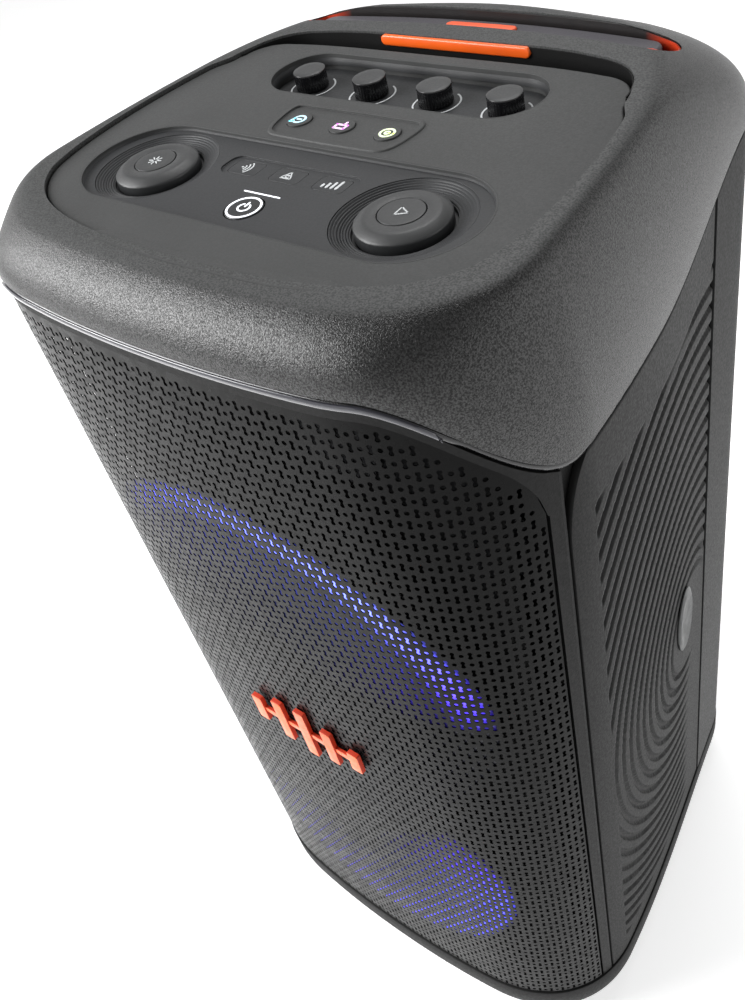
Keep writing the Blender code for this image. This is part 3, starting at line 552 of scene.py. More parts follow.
def rounded_rectangle(half_width, half_depth, radius, x=0.0, y=0.0, steps=6):
    points = []
    for across, up, start in ((1, -1, -90), (1, 1, 0), (-1, 1, 90), (-1, -1, 180)):
        for angle in np.radians(np.linspace(start, start + 90, steps + 1)):
            points.append((x + across * (half_width - radius) + radius * math.cos(angle),
                           y + up * (half_depth - radius) + radius * math.sin(angle)))
    return np.array(points)


BODY = spanned(BODY_SPANS)
DECK = spanned(DECK_SPANS)
STATIONS = np.arange(len(BODY)) / len(BODY)


def place_of(x, y):
    """The place on BODY nearest to (x, y), as a share of the way round."""
    nearest = np.argmin(np.hypot(BODY[:, 0] - x, BODY[:, 1] - y))
    return nearest / len(BODY)


def at(places, distance):
    """Points at shares of the way round BODY, moved inward by one distance or one for each point."""
    steps = np.arange(len(BODY) + 1) / len(BODY)
    lane = normals(BODY)
    corners = (BODY[:, 0], BODY[:, 1], lane[:, 0], lane[:, 1])
    x, y, out_x, out_y = (np.interp(np.asarray(places) % 1.0, steps, np.append(c, c[0])) for c in corners)
    return np.column_stack([x - out_x * distance, y - out_y * distance])


def ease(value):
    """A soft step from 0 to 1."""
    share = np.clip(value, 0.0, 1.0)
    return share * share * (3.0 - 2.0 * share)


def trim_height(places):
    """Height of the head's lower edge: high in front, dipping at the sides, rising again to the rear."""
    side = np.minimum(np.asarray(places) % 1.0, 1.0 - np.asarray(places) % 1.0)
    corner_start = place_of(0.108, -0.179)
    corner_end = place_of(HALF_WIDTH, -0.110)
    rear_start = place_of(0.160, -0.030)
    rear_end = place_of(0.137, 0.115)
    corner = ease((side - corner_start) / (corner_end - corner_start))
    rear = ease((side - rear_start) / (rear_end - rear_start))
    return TRIM_FRONT_Z + (TRIM_SIDE_Z - TRIM_FRONT_Z) * corner + (TRIM_REAR_Z - TRIM_SIDE_Z) * rear


def sections(lines):
    """The cross-sections of a band, from the lines that run along it."""
    return [np.array(corners) for corners in zip(*lines)]


def wall(name, places, lanes, heights, look, closed=False, smooth_angle=35.0):
    """A band along BODY. Each corner of its section has an inset and a height."""
    lines = [level(at(places, lane), height) for lane, height in zip(lanes, heights)]
    return loft(name, sections(lines), look, closed, smooth_angle)


def slot_line(half_length, y, count=25):
    x = np.linspace(-half_length, half_length, count)
    return np.column_stack([x, y - SLOT_BEND * x * x])


EDGE = place_of(0.1537, -0.1285)
SEAM = place_of(0.1588, -0.1215)
TAIL = place_of(0.1432, 0.066)


# Head


def head_rings(outside, deck, deck_z):
    """Rings from the head's lower edge, up round its shoulder, over a soft crease to its flat top."""
    low = trim_height(STATIONS)

    def shoulder(turned):
        share = (1 - math.cos(turned)) / (1 - math.cos(HEAD_TURN))
        rise = math.sin(turned) / math.sin(HEAD_TURN)
        return level(outside * (1 - share) + deck * share, low + (deck_z - low) * rise)

    rings = [shoulder(turned) for turned in np.linspace(0.0, HEAD_TURN - FILLET_TURN, 20)]
    start, corner, end = rings[-1], shoulder(HEAD_TURN), level(inset(deck, FILLET_INSET), deck_z)
    for t in np.linspace(0.0, 1.0, 9)[1:]:
        rings.append(start * (1 - t) ** 2 + corner * 2 * t * (1 - t) + end * t * t)
    rings.append(level(inset(deck, FILLET_INSET + 0.0010), deck_z))
    return rings


def head_solid(lift, floor):
    """The head filled in, moved up by lift, to trim what lies under its curved top."""
    rings = [level(BODY, floor - 0.10)] + head_rings(BODY, DECK, DECK_Z)
    return loft("head_solid", [ring + (0.0, 0.0, lift) for ring in rings], "head")


def panel_outline():
    return mirrored(np.concatenate([
        bezier((0.0, -0.1545), (0.0193, -0.1543), (0.0387, -0.1535), (0.058, -0.1519), 12),
        bezier((0.058, -0.1519), (0.0900, -0.1470), (0.1170, -0.1400), (0.1300, -0.1150), 24),
        bezier((0.1300, -0.1150), (0.1400, -0.0880), (0.1370, -0.0400), (0.1290, 0.0), 24),
        bezier((0.1290, 0.0), (0.1275, 0.0060), (0.1240, 0.0090), GAP_TIP, 8),
        bezier(GAP_TIP, (0.1205, 0.0270), (0.1150, 0.0395), (0.0980, 0.0405), 20),
        bezier((0.0980, 0.0405), (0.0800, 0.0432), (0.0600, 0.0437), (0.0300, 0.0436), 12),
        bezier((0.0300, 0.0436), (0.0200, 0.0436), (0.0100, 0.0436), (0.0, 0.0436), 4, True),
    ]))


def gap_sides():
    """Front and rear edge of the right half of the U-shaped finger gap."""
    front = np.concatenate([
        bezier((0.0, 0.0424), (0.0400, 0.0424), (0.0900, 0.0424), (0.1040, 0.0375), 16),
        bezier((0.1040, 0.0375), (0.1110, 0.0350), (0.1160, 0.0270), (0.1200, 0.0190), 6),
    ])
    rear = np.concatenate([
        bezier((0.1200, 0.0190), (0.1195, 0.0340), (0.1110, 0.0500), (0.0900, 0.0540), 20),
        bezier((0.0900, 0.0540), (0.0760, 0.0572), (0.0640, BAR_FRONT_Y), (0.0500, BAR_FRONT_Y), 12, True),
    ])
    return front, rear


def gap_outline():
    front, rear = gap_sides()
    left = (-1.0, 1.0)
    return np.concatenate([front, rear, rear[::-1] * left, front[:0:-1] * left])


def make_head():
    outline = panel_outline()
    outer = head_rings(BODY, DECK, DECK_Z)
    inner = head_rings(inset(BODY, HEAD_WALL), inset(DECK, HEAD_WALL), DECK_Z - HEAD_WALL)
    head = loft("head", inner[::-1] + outer, "head")
    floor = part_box("slot_liner")[0][2] - GAP
    slot = slot_line(SLOT_HALF_LENGTH, SLOT_Y)
    ledge = cutter(inset(outline, -0.003), PANEL_FLOOR_Z - 0.005, DECK_Z - UNDER_DECK)
    around_gap = cutter(inset(gap_outline(), -WELL_WALL), floor - WELL_FLOOR)
    around_slot = cutter(ribbon(slot, SLOT_HALF_DEPTH + WELL_WALL), floor - WELL_FLOOR)
    for under in (around_gap, around_slot):
        combine(under, "INTERSECT", head_solid(-UNDER_DECK, floor))
    join(head, ledge, around_gap, around_slot)
    window = cutter(inset(outline, 0.005), PANEL_FLOOR_Z - 0.02)
    seat = cutter(inset(outline, -0.0004), PANEL_FLOOR_Z - GAP)
    gap = cutter(gap_outline(), floor)
    well = cutter(ribbon(slot, SLOT_HALF_DEPTH), floor)
    tubes = [cutter(circle(TUBE_HOLE, *middle("handle_tube_" + side)[:2], 24), floor - 0.01, floor + 0.01)
             for side in ("left", "right")]
    cut(head, seat, window, gap, well, *tubes)
    shade(head, 32.0)
    soften(head, 0.0008, 62.0, 3)
    keep(head, "body", "head_shell")


def make_gap_lining():
    """A black lining: low under the control panel's rear edge, full height along the carry bar."""
    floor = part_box("slot_liner")[0][2]
    front, rear = gap_sides()
    low_side = np.full(len(front), PANEL_FLOOR_Z - 0.0006)
    high_side = np.full(len(rear), DECK_Z - 0.0011)
    top = np.concatenate([low_side, high_side, high_side, low_side[1:]])
    outer = inset(gap_outline(), 0.0002)
    inner = inset(gap_outline(), 0.0008)
    lining = [level(outer, floor), level(outer, top), level(inner, top), level(inner, floor + 0.0007)]
    keep(loft("gap_lining", lining, "gap", smooth=40.0), "body")


def make_front_blend():
    """The control panel runs into the head without a seam in front: a soft slope over the joint."""
    outline = panel_outline()
    lanes = normals(outline)
    right = np.flatnonzero((outline[:, 0] >= 0.0) & (outline[:, 0] < 0.100) & (outline[:, 1] < -0.10))
    left = np.flatnonzero((outline[:, 0] < 0.0) & (outline[:, 0] > -0.062) & (outline[:, 1] < -0.10))
    order = np.concatenate([left, right])
    share = np.linspace(0.0, 1.0, len(order))
    sunk = 0.0010 * (1.0 - ease(share / 0.10) * ease((1.0 - share) / 0.16))
    rings = []
    for across in np.linspace(0.0, 1.0, 13):
        plan = outline[order] + lanes[order] * (-0.0060 + 0.0110 * across)
        rings.append(level(plan, PANEL_Z + (DECK_Z - PANEL_Z) * ease(across) + 0.00006 - sunk))
    rings.append(level(outline[order] + lanes[order] * 0.0050, DECK_Z - 0.0012))
    rings.append(level(outline[order] - lanes[order] * 0.0060, PANEL_Z - 0.0012))
    keep(loft("front_blend", sections(rings), "soft", smooth=60.0), "body")


def make_trim():
    """The polished band under the head, its raised front insert, and the dark strip down to the grille."""
    top = trim_height(STATIONS)
    end = place_of(0.136, -0.158)
    lanes = (0.0008, 0.0002, 0.0000, 0.0003, 0.0012, 0.0040, 0.0040)
    drops = (0.0008, 0.0014, 0.0026, 0.0042, 0.0049, 0.0049, 0.0008)
    nearest = np.minimum(STATIONS, 1.0 - STATIONS)
    recess = BAND_RECESS * ease((nearest - end) / 0.012)
    heights = [top - drop for drop in drops]
    band = wall("trim_band_fine", STATIONS, [lane + recess for lane in lanes], heights, "trim", True, 60.0)
    keep(band, "body", "trim_band")

    front = np.linspace(-end, end, 150)
    high = trim_height(front) - 0.0012
    lean = np.clip((np.abs(front) - end * 0.975) / (end * 0.025), 0.0, 1.0) * 0.0028
    lanes = (-0.0004, -0.0009, -0.0009, -0.0003, 0.0006, 0.0006)
    drops = (0.0002, 0.0008, 0.0026, 0.0034, 0.0034, 0.0002)
    heights = [high - drop - lean * (drop < 0.001) for drop in drops]
    insert = wall("trim_insert", front, lanes, heights, "gloss", False, 50.0)
    keep(insert, "body")

    below = np.linspace(-EDGE * 1.02, EDGE * 1.02, 170)
    high = trim_height(below) - 0.0052
    lanes = (0.0009, 0.0009, 0.0045, 0.0045)
    low = grille_top(below) - 0.0010
    strip = wall("grille_frame_top", below, lanes, (low, high, high, low), "gap", False, 40.0)
    keep(strip, "body")


# Grille

HOLE_RADIUS = 0.00130
END_RADIUS = 0.00122
END_REACH = 0.00160
HALF_WAIST = 0.00062
HOLE_PITCH = 0.0043
ROW_PITCH = 0.0070
GRILLE_INSET = 0.0012
GRILLE_DEPTH = 0.0006
GRILLE_CORNER = 0.020


def grille_top(places):
    """The grille's upper edge: under the trim, and round at both upper corners."""
    places = np.asarray(places)
    from_edge = np.clip((EDGE - np.abs(places)) * len(BODY) * 0.0030, 0.0, GRILLE_CORNER)
    drop = GRILLE_CORNER - np.sqrt(np.maximum(GRILLE_CORNER**2 - (GRILLE_CORNER - from_edge) ** 2, 0.0))
    return trim_height(places) - 0.0092 - drop


def hole(kind):
    """A hole's outline round its centre: a round one, or two round ends joined by a waist."""
    if kind == "round":
        angles = np.linspace(0.0, 2 * math.pi, 9)[:-1] + 0.39
        return [(HOLE_RADIUS * math.cos(a), HOLE_RADIUS * math.sin(a)) for a in angles]
    angles = np.radians((-35, 10, 60, 120, 170, 215))
    top = [(END_RADIUS * math.cos(a), END_REACH + END_RADIUS * math.sin(a)) for a in angles]
    return [*top, (-HALF_WAIST, 0.0), *((-x, -z) for x, z in top), (HALF_WAIST, 0.0)]


def grille_columns():
    """Evenly spaced places across the front, measured along its curve."""
    dense = np.linspace(-EDGE, EDGE, 1201)
    line = at(dense, GRILLE_INSET)
    length = np.concatenate([[0.0], np.cumsum(np.hypot(*np.diff(line, axis=0).T))])
    count = round(length[-1] / HOLE_PITCH)
    return np.interp(np.linspace(0.0, length[-1], count + 1), length, dense)


def make_grille(name, low_row, high_row, top_free):
    """A sheet with real holes between two rows of the lattice. The top one ends at grille_top instead."""
    columns = grille_columns()
    bottom = BASE_TOP_Z + 0.002
    front = at(columns, GRILLE_INSET)
    back = at(columns, GRILLE_INSET + GRILLE_DEPTH)
    tops = grille_top(columns)
    rows = np.full(len(columns), high_row)
    if top_free:
        rows = np.floor((tops - 0.0012 - bottom) / ROW_PITCH).astype(int)
    points = []
    faces = []

    def point(plan, z):
        points.append((plan[0], plan[1], z))
        return len(points) - 1

    lines = []
    for column, plan in enumerate(front):
        line = [point(plan, bottom + row * ROW_PITCH) for row in range(low_row, rows[column] + 1)]
        if top_free:
            line.append(point(plan, tops[column]))
        lines.append(line)
    outlines = {kind: hole(kind) for kind in ("round", "waisted")}
    for column in range(len(columns) - 1):
        left, right = lines[column], lines[column + 1]
        full = min(rows[column], rows[column + 1]) - low_row
        across = (front[column + 1] - front[column]) / HOLE_PITCH
        deep = (back[column] + back[column + 1] - front[column] - front[column + 1]) / 2
        between = (front[column] + front[column + 1]) / 2
        for row in range(full):
            kind = "round" if (column + row + low_row) % 2 else "waisted"
            centre_z = bottom + (row + low_row + 0.5) * ROW_PITCH
            rim = [point(between + across * x, centre_z + z) for x, z in outlines[kind]]
            inner = [point(between + across * x + deep, centre_z + z) for x, z in outlines[kind]]
            count = len(rim)
            for here in range(count):
                after = (here + 1) % count
                faces.append((rim[here], rim[after], inner[after], inner[here]))
            corners = (left[row], right[row], right[row + 1], left[row + 1])
            aims = np.radians((225.0, 315.0, 45.0, 135.0))
            angles = np.array([math.atan2(z / ROW_PITCH, x / HOLE_PITCH) for x, z in outlines[kind]])
            anchor = [int(np.argmin(np.abs(np.angle(np.exp(1j * (angles - aim)))))) for aim in aims]
            for side in range(4):
                first, last = anchor[side], anchor[(side + 1) % 4]
                part = [rim[(first + k) % count] for k in range((last - first) % count + 1)]
                faces.append((corners[side], corners[(side + 1) % 4], *part[::-1]))
        rest = (*left[full:][::-1], *right[full:])
        if len(rest) > 2 and (len(left) > full + 1 or len(right) > full + 1):
            faces.append(rest)
    if top_free:
        for column in range(len(columns) - 1):
            ends = []
            for side in (column, column + 1):
                ends.append((lines[side][-1], point(back[side] + (back[side] - front[side]), tops[side])))
            faces.append((ends[0][0], ends[1][0], ends[1][1], ends[0][1]))
    for side in (0, len(columns) - 1):
        inward = back[side] + (back[side] - front[side])
        line = lines[side]
        behind = [point(inward, points[index][2]) for index in line]
        for here in range(len(line) - 1):
            faces.append((line[here], line[here + 1], behind[here + 1], behind[here]))
    sheet = bpy.data.meshes.new(name)
    sheet.from_pydata([tuple(map(float, p)) for p in points], [], faces)
    sheet.materials.append(LOOK["grille"])
    made = bpy.data.objects.new(name, sheet)
    bpy.context.scene.collection.objects.link(made)
    keep(shade(made, 40.0), "body", "front_grille")


def make_front():
    split = 40
    make_grille("grille_lower", 0, split, False)
    make_grille("grille_upper", split, split, True)


# Sides

RIB_CENTRE = (0.030, 0.298)
RIB_STRETCH = 1.22
RIB_PITCH = 0.0105
RIB_DEPTH = 0.0016
RIB_FRONT_Y = -0.104
CORNER_START = 0.90
CORNER_TURN = 0.030
SIDE_LENGTH = 0.19
PANEL_INSET = 0.0011
PANEL_BACK = 0.0048
EDGE_DROP = 0.0012
EDGE_RADIUS = 0.0016


def rib_depth(y, z, top):
    """Depth of the grooves: ovals round the emblem's place, cut off at the front, top, bottom and rear."""
    oval = np.hypot(y - RIB_CENTRE[0], (z - RIB_CENTRE[1]) / RIB_STRETCH)
    turn_share = (oval / RIB_PITCH) % 1.0
    groove = np.clip(1.0 - np.abs(turn_share - 0.5) / 0.19, 0.0, 1.0)
    groove = np.sqrt(1.0 - (1.0 - groove) ** 2)
    rear_edge = 0.034 + 0.060 * ease((z - 0.20) / 0.25)
    fade = (ease((y - RIB_FRONT_Y) / 0.0035) * ease((top - 0.034 - z) / 0.006)
            * ease((z - 0.068) / 0.006) * ease((rear_edge - y) / 0.020) * ease((oval - 0.034) / 0.003))
    return RIB_DEPTH * groove * fade


def make_side(name, sign):
    """A side panel as a fine grid, with a rounded border, on the right (sign 1) or mirrored to the left."""
    share = np.linspace(0.0, 1.0, 176)[None, :]
    up = np.linspace(0.0, 1.0, 440)[:, None]
    corner = np.clip((up - CORNER_START) / (1.0 - CORNER_START), 0.0, 1.0)
    start = SEAM + CORNER_TURN * (1.0 - np.sqrt(1.0 - 0.96 * corner**2))
    places = start + (TAIL - start) * share
    plan, inside = (at(places.ravel(), distance).reshape(*places.shape, 2) for distance in (0.0, 1.0))
    inward = inside - plan
    tops = trim_height(places) - BELOW_TRIM
    z = ABOVE_BASE_Z + (tops - ABOVE_BASE_Z) * up
    depth = PANEL_INSET + rib_depth(plan[..., 1], z, tops)
    across = np.broadcast_to(share, z.shape) * SIDE_LENGTH
    border = np.minimum.reduce([across, SIDE_LENGTH - across, z - ABOVE_BASE_Z, tops - z])
    depth = depth + EDGE_DROP * (1 - np.sqrt(1 - (1 - np.clip(border / EDGE_RADIUS, 0.0, 1.0)) ** 2))
    count_up, count_round = z.shape
    face = plan + inward * depth[..., None]
    front = np.concatenate([face, z[..., None]], axis=-1).reshape(-1, 3)
    deep = np.concatenate([plan + inward * PANEL_BACK, z[..., None]], axis=-1)
    last_up = count_up - 1
    last_round = count_round - 1
    edge = [(0, i) for i in range(count_round)]
    edge += [(j, last_round) for j in range(1, count_up)]
    edge += [(last_up, i) for i in range(last_round - 1, -1, -1)]
    edge += [(j, 0) for j in range(last_up - 1, 0, -1)]
    index = np.arange(count_up * count_round).reshape(count_up, count_round)
    quads = np.stack([index[:-1, :-1], index[:-1, 1:], index[1:, 1:], index[1:, :-1]], axis=-1)
    faces = [tuple(quad) for quad in quads.reshape(-1, 4).tolist()]
    start = len(front)
    back = [deep[j, i] for j, i in edge]
    total = len(edge)
    for here in range(total):
        after = (here + 1) % total
        a, b = int(index[edge[here]]), int(index[edge[after]])
        faces.append((b, a, start + here, start + after))
    faces.append(tuple(range(start, start + total)))
    points = np.concatenate([front, back]) * (sign, 1.0, 1.0)
    made = add(name, points, faces, "side", 50.0)
    keep(made, "body", name.replace("ribbed_", ""))

    make_medallion(name.replace("ribbed_side_panel", "side_medallion"), plan[0], sign)


def make_medallion(name, plan, sign):
    """A plain oval, slightly domed, where the ribs have their centre. Plan is the wall that it sits on."""
    around = np.linspace(0.0, 2 * math.pi, 48, endpoint=False)
    inward = at([place_of(0.1530, 0.020)], 1.0)[0] - at([place_of(0.1530, 0.020)], 0.0)[0]
    rings = []
    for grow, lift in ((1.0, 0.0004), (1.0, 0.0012), (0.88, 0.0022), (0.62, 0.0012), (0.30, 0.0010)):
        y = RIB_CENTRE[0] - 0.012 + 0.0135 * grow * np.cos(around)
        z = RIB_CENTRE[1] + 0.015 + 0.0300 * grow * np.sin(around)
        x = np.interp(y, plan[:, 1], plan[:, 0])
        raised = lift - PANEL_INSET
        ring = np.column_stack([x - inward[0] * raised, y - inward[1] * raised, z])
        rings.append(ring * (sign, 1.0, 1.0))
    keep(loft(name, rings, "mark", smooth=60.0), "body")


# Rear and base


def wheel_boxes(margin, inside=False):
    """Boxes round both wheels, open to the rear and below. Inside ones stay within the body."""
    made = []
    for side in ("left", "right"):
        low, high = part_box("wheel_tyre_" + side)
        rear = REAR_Y - 0.0098 if inside else 0.25
        bottom = 0.006 if inside else -0.02
        grow = 0.0035 + margin
        outline = np.array([(low[0] - grow, low[1] - grow), (high[0] + grow, low[1] - grow),
                            (high[0] + grow, rear), (low[0] - grow, rear)])
        made.append(rounded_prism("wheel_box", outline, bottom, high[2] + grow, "rear"))
    return made


def make_rear():
    """The rear cover with its port, sockets and vents, and the base with its wheel arches."""
    gap = 0.0006
    places = np.linspace(TAIL + gap, 1 - TAIL - gap, 170)
    top = trim_height(places) - BELOW_TRIM
    low = ABOVE_BASE_Z
    lanes = (0.0016, 0.0008, 0.0005, 0.0005, 0.0008, 0.0016, 0.0050, 0.0050)
    heights = (low, low + 0.0003, low + 0.0011, top - 0.0011, top - 0.0003, top, top, low)
    cover = wall("rear_cover_fine", places, lanes, heights, "rear", False, 40.0)
    port = middle("bass_port")
    bore = turn("port_bore", [(0.0, -0.16), (0.0343, -0.16), (0.0343, -0.10), (0.0, -0.10)], "rear",
                (0.0, 0.0, port[2]), "-Y", 62)
    low_io, high_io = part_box("io_panel")
    half_io = (high_io[0] - low_io[0]) / 2 + GAP
    io_outline = np.array([(-half_io, 0.10), (half_io, 0.10), (half_io, 0.16), (-half_io, 0.16)])
    io = cutter(io_outline + ((low_io[0] + high_io[0]) / 2, 0.0), low_io[2] - GAP, high_io[2] + GAP)
    grooves = []
    for step in range(9):
        z = 0.205 + 0.0085 * step
        line = [(-0.050, z), (0.0, z), (0.050, z)]
        shape = ribbon(line, 0.0014, 6)
        grooves.append(loft("vent", [upright(shape, 0.1385), upright(shape, 0.16)], "rear"))
    cut(cover, bore, io, *wheel_boxes(0.0035), *grooves)
    shade(cover, 35.0)
    soften(cover, 0.0007, 50.0)
    keep(cover, "body", "rear_cover")

    plan = [(0.0180, 0.0040), (0.0140, 0.0050), (0.0110, 0.0065), (0.0078, 0.0090), (0.0050, 0.0125),
            (0.0030, 0.0165), (0.0015, 0.0210), (0.0005, 0.0255), (0.0, 0.0300), (0.0, 0.0470),
            (0.0003, 0.0477), (0.0010, BASE_TOP_Z), (0.0048, BASE_TOP_Z), (0.0048, 0.0320),
            (0.0105, 0.0320), (0.0130, 0.0180), (0.0190, 0.0100)]
    base = loft("base_fine", [level(inset(BODY, d), z) for d, z in plan], "base")
    axle_low, axle_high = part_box("axle")
    axle = (np.array(axle_low) + axle_high) / 2
    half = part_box("wheel_tyre_right")[0][0] - 0.0045
    outline = rounded_rectangle(half, 0.0090, 0.0040, 0.0, axle[1] - 0.0015)
    behind = np.column_stack([outline[:, 0], np.maximum(outline[:, 1], REAR_Y - 0.0002)])
    housing = rounded_prism("housing", outline, axle[2] - 0.026, BASE_TOP_Z, "base")
    housing_top = rounded_prism("housing_top", behind, axle[2] - 0.026, axle[2] + 0.026, "base")
    join(base, *wheel_boxes(0.0030, True), housing, housing_top)
    span = axle_high[0] + 0.01
    rod = turn("rod", [(0.0, -span), (0.0043, -span), (0.0043, span), (0.0, span)], "base", axle, "X", 24)
    cut(base, *wheel_boxes(0.0), rod)
    shade(base, 35.0)
    soften(base, 0.0008, 50.0)
    keep(base, "body", "base_plate")


# Lights behind the grille

DARK = (0.0, 0.0, 0.0, 1.0)
WIDEST = 2.0


def arc_material(name, centre_z, half_width, half_height, angles, radii, strength):
    """Blue to violet light on part of an oval ring, with a dim haze inside it."""
    made = Shader(name, (0.010, 0.010, 0.020), 0.4)

    def ramp(source, stops):
        node = made.node("ValToRGB")
        made.link(source, node, "Fac")
        elements = node.color_ramp.elements
        for element, (position, colour) in zip(elements, (stops[0], stops[-1])):
            element.position = position
            element.color = colour
        for position, colour in stops[1:-1]:
            elements.new(position).color = colour
        return node.outputs["Color"]

    across = made.work("DIVIDE", made.axis("X"), half_width)
    up = made.work("DIVIDE", made.work("SUBTRACT", made.axis("Z"), centre_z), half_height)
    turned = made.spread(made.work("ARCTAN2", up, across), 0.0, 1.0, -math.pi, math.pi)
    squares = (made.work("MULTIPLY", across, across), made.work("MULTIPLY", up, up))
    radius = made.work("SQRT", made.work("ADD", *squares))
    made.link(ramp(turned, angles), made.shader, "Emission Color")
    levels = [(share / WIDEST, (*grey(light), 1.0)) for share, light in radii]
    light = ramp(made.work("DIVIDE", radius, WIDEST), levels)
    made.link(made.work("MULTIPLY", light, strength), made.shader, "Emission Strength")
    return made.material


def make_arc(name, node, centre_z, half_width, half_height, angles, radii, strength):
    """A wide translucent plate that follows the bowed grille from behind, brightest along its rim."""
    front = inset(BODY, GRILLE_INSET + GRILLE_DEPTH + 0.0006)[:50]
    section = [(share, 0.0) for share in (0.20, 0.40, 0.60, 0.80, 0.92, 1.0, 1.08)]
    section += [(1.08, 0.0012), (0.20, 0.0012)]
    rings = []
    for angle in np.linspace(0.0, 2.0 * math.pi, 120, endpoint=False):
        ring = []
        for share, deep in section:
            x = math.cos(angle) * half_width * share
            y = np.interp(abs(x), front[:, 0], front[:, 1]) + deep
            ring.append((x, y, centre_z + math.sin(angle) * half_height * share))
        rings.append(np.array(ring))
    LOOK[name] = arc_material(name, centre_z, half_width, half_height, angles, radii, strength)
    plate = loft(name, rings, name, True, 60.0)
    keep(two_tone(plate, "gap", BACK, 0.3), "body", node)


def make_lights():
    blue = (0.10, 0.10, 1.0, 1.0)
    violet = (0.075, 0.045, 0.75, 1.0)
    angles = [(0.0, DARK), (0.50, DARK), (0.545, violet), (0.64, (0.16, 0.20, 1.0, 1.0)),
              (0.76, (0.14, 0.17, 1.0, 1.0)), (0.86, blue), (0.93, violet), (1.0, DARK)]
    radii = [(0.0, 0.0), (0.50, 0.015), (0.90, 0.11), (0.955, 0.75), (1.0, 1.0), (1.045, 0.75),
             (1.085, 0.0), (WIDEST, 0.0)]
    make_arc("light_arc_upper", "light_guide_upper", 0.4106, 0.126, 0.122, angles, radii, 4.5)
    angles = [(0.0, DARK), (0.05, violet), (0.20, violet), (0.36, blue), (0.50, blue), (0.56, violet),
              (0.62, DARK), (1.0, DARK)]
    radii = [(0.0, 0.0), (0.25, 0.02), (0.55, 0.30), (0.80, 0.75), (1.0, 1.0), (1.045, 0.8),
             (1.085, 0.0), (WIDEST, 0.0)]
    make_arc("light_arc_lower", "light_guide_lower", 0.204, 0.116, 0.108, angles, radii, 3.0)


# Controls


def strokes(name, lines, width, base_z, look, body, height=0.00016, place=(0.0, 0.0)):
    """Thin raised marks on a level surface, one ribbon for each line."""
    points = []
    faces = []
    for line in lines:
        outline = ribbon(np.asarray(line, dtype=float) + place, width / 2, 5)
        start = len(points)
        count = len(outline)
        points.extend((x, y, base_z) for x, y in outline)
        points.extend((x, y, base_z + height) for x, y in outline)
        faces.append(tuple(reversed(range(start, start + count))))
        faces.append(tuple(range(start + count, start + 2 * count)))
        for here in range(count):
            after = (here + 1) % count
            faces.append((start + here, start + after, start + count + after, start + count + here))
    made = add(name, points, faces, look, 30.0)
    return keep(made, body)


def arc(radius, start, end, x=0.0, y=0.0, count=28, squash=1.0):
    angles = np.radians(np.linspace(start, end, count))
    return np.column_stack([x + radius * np.cos(angles), y + squash * radius * np.sin(angles)])


def make_panel():
    outline = panel_outline()
    panel = rounded_prism("panel_fine", outline, PANEL_FLOOR_Z, PANEL_Z, "soft", 0.0012, 4)
    pad_line = mirrored(np.concatenate([
        np.array([(0.0, -0.0520), (0.020, -0.0518)]),
        bezier((0.0300, -0.0515), (0.0365, -0.0510), (0.0385, -0.0480), (0.0400, -0.0400), 14),
        bezier((0.0400, -0.0400), (0.0420, -0.0270), (0.0415, -0.0225), (0.0350, -0.0220), 14),
        np.array([(0.0350, -0.0220), (0.0, -0.0215)]),
    ]))
    lip_line = inset(pad_line, -0.0012)
    lip = rounded_prism("lip", lip_line, PANEL_Z - 0.002, PANEL_Z + 0.0009, "soft", 0.0009, 4)
    join(panel, lip)
    pod = straight_ribbon(0.082, 0.035, 0.0, LIGHT_DIAL[1], 40)
    pocket = straight_ribbon(0.0600, 0.0225, 0.0, MIC_KNOBS[0][1], 32)
    tools = [cutter(pod, 0.64), cutter(pocket, 0.64), cutter(inset(pad_line, 0.0012), PANEL_Z - 0.0001)]
    for number in (1, 2, 3):
        key = middle("effect_key_%d" % number)
        tools.append(cutter(circle(0.0067, *key[:2], 48), PANEL_Z - 0.004))
    cut(panel, *tools)
    shade(panel, 30.0)
    soften(panel, 0.0010, 50.0, 3)
    keep(panel, "body", "control_panel")

    for name, line, drop in (("pod_rim", pod, 0.0016), ("mic_rim", pocket, 0.0024)):
        section = [(-0.0010 + 0.0010 * math.sin(a), 0.0001 - drop * (1 - math.cos(a)))
                   for a in np.linspace(0.2, math.pi / 2, 6)]
        section += [(0.0008, -drop - 0.0010), (0.0008, -0.006), (-0.0001, -0.006)]
        rings = [level(inset(line, lane), PANEL_Z + height) for lane, height in section]
        keep(loft(name, sections(rings), "pod", True, 50.0), "body")


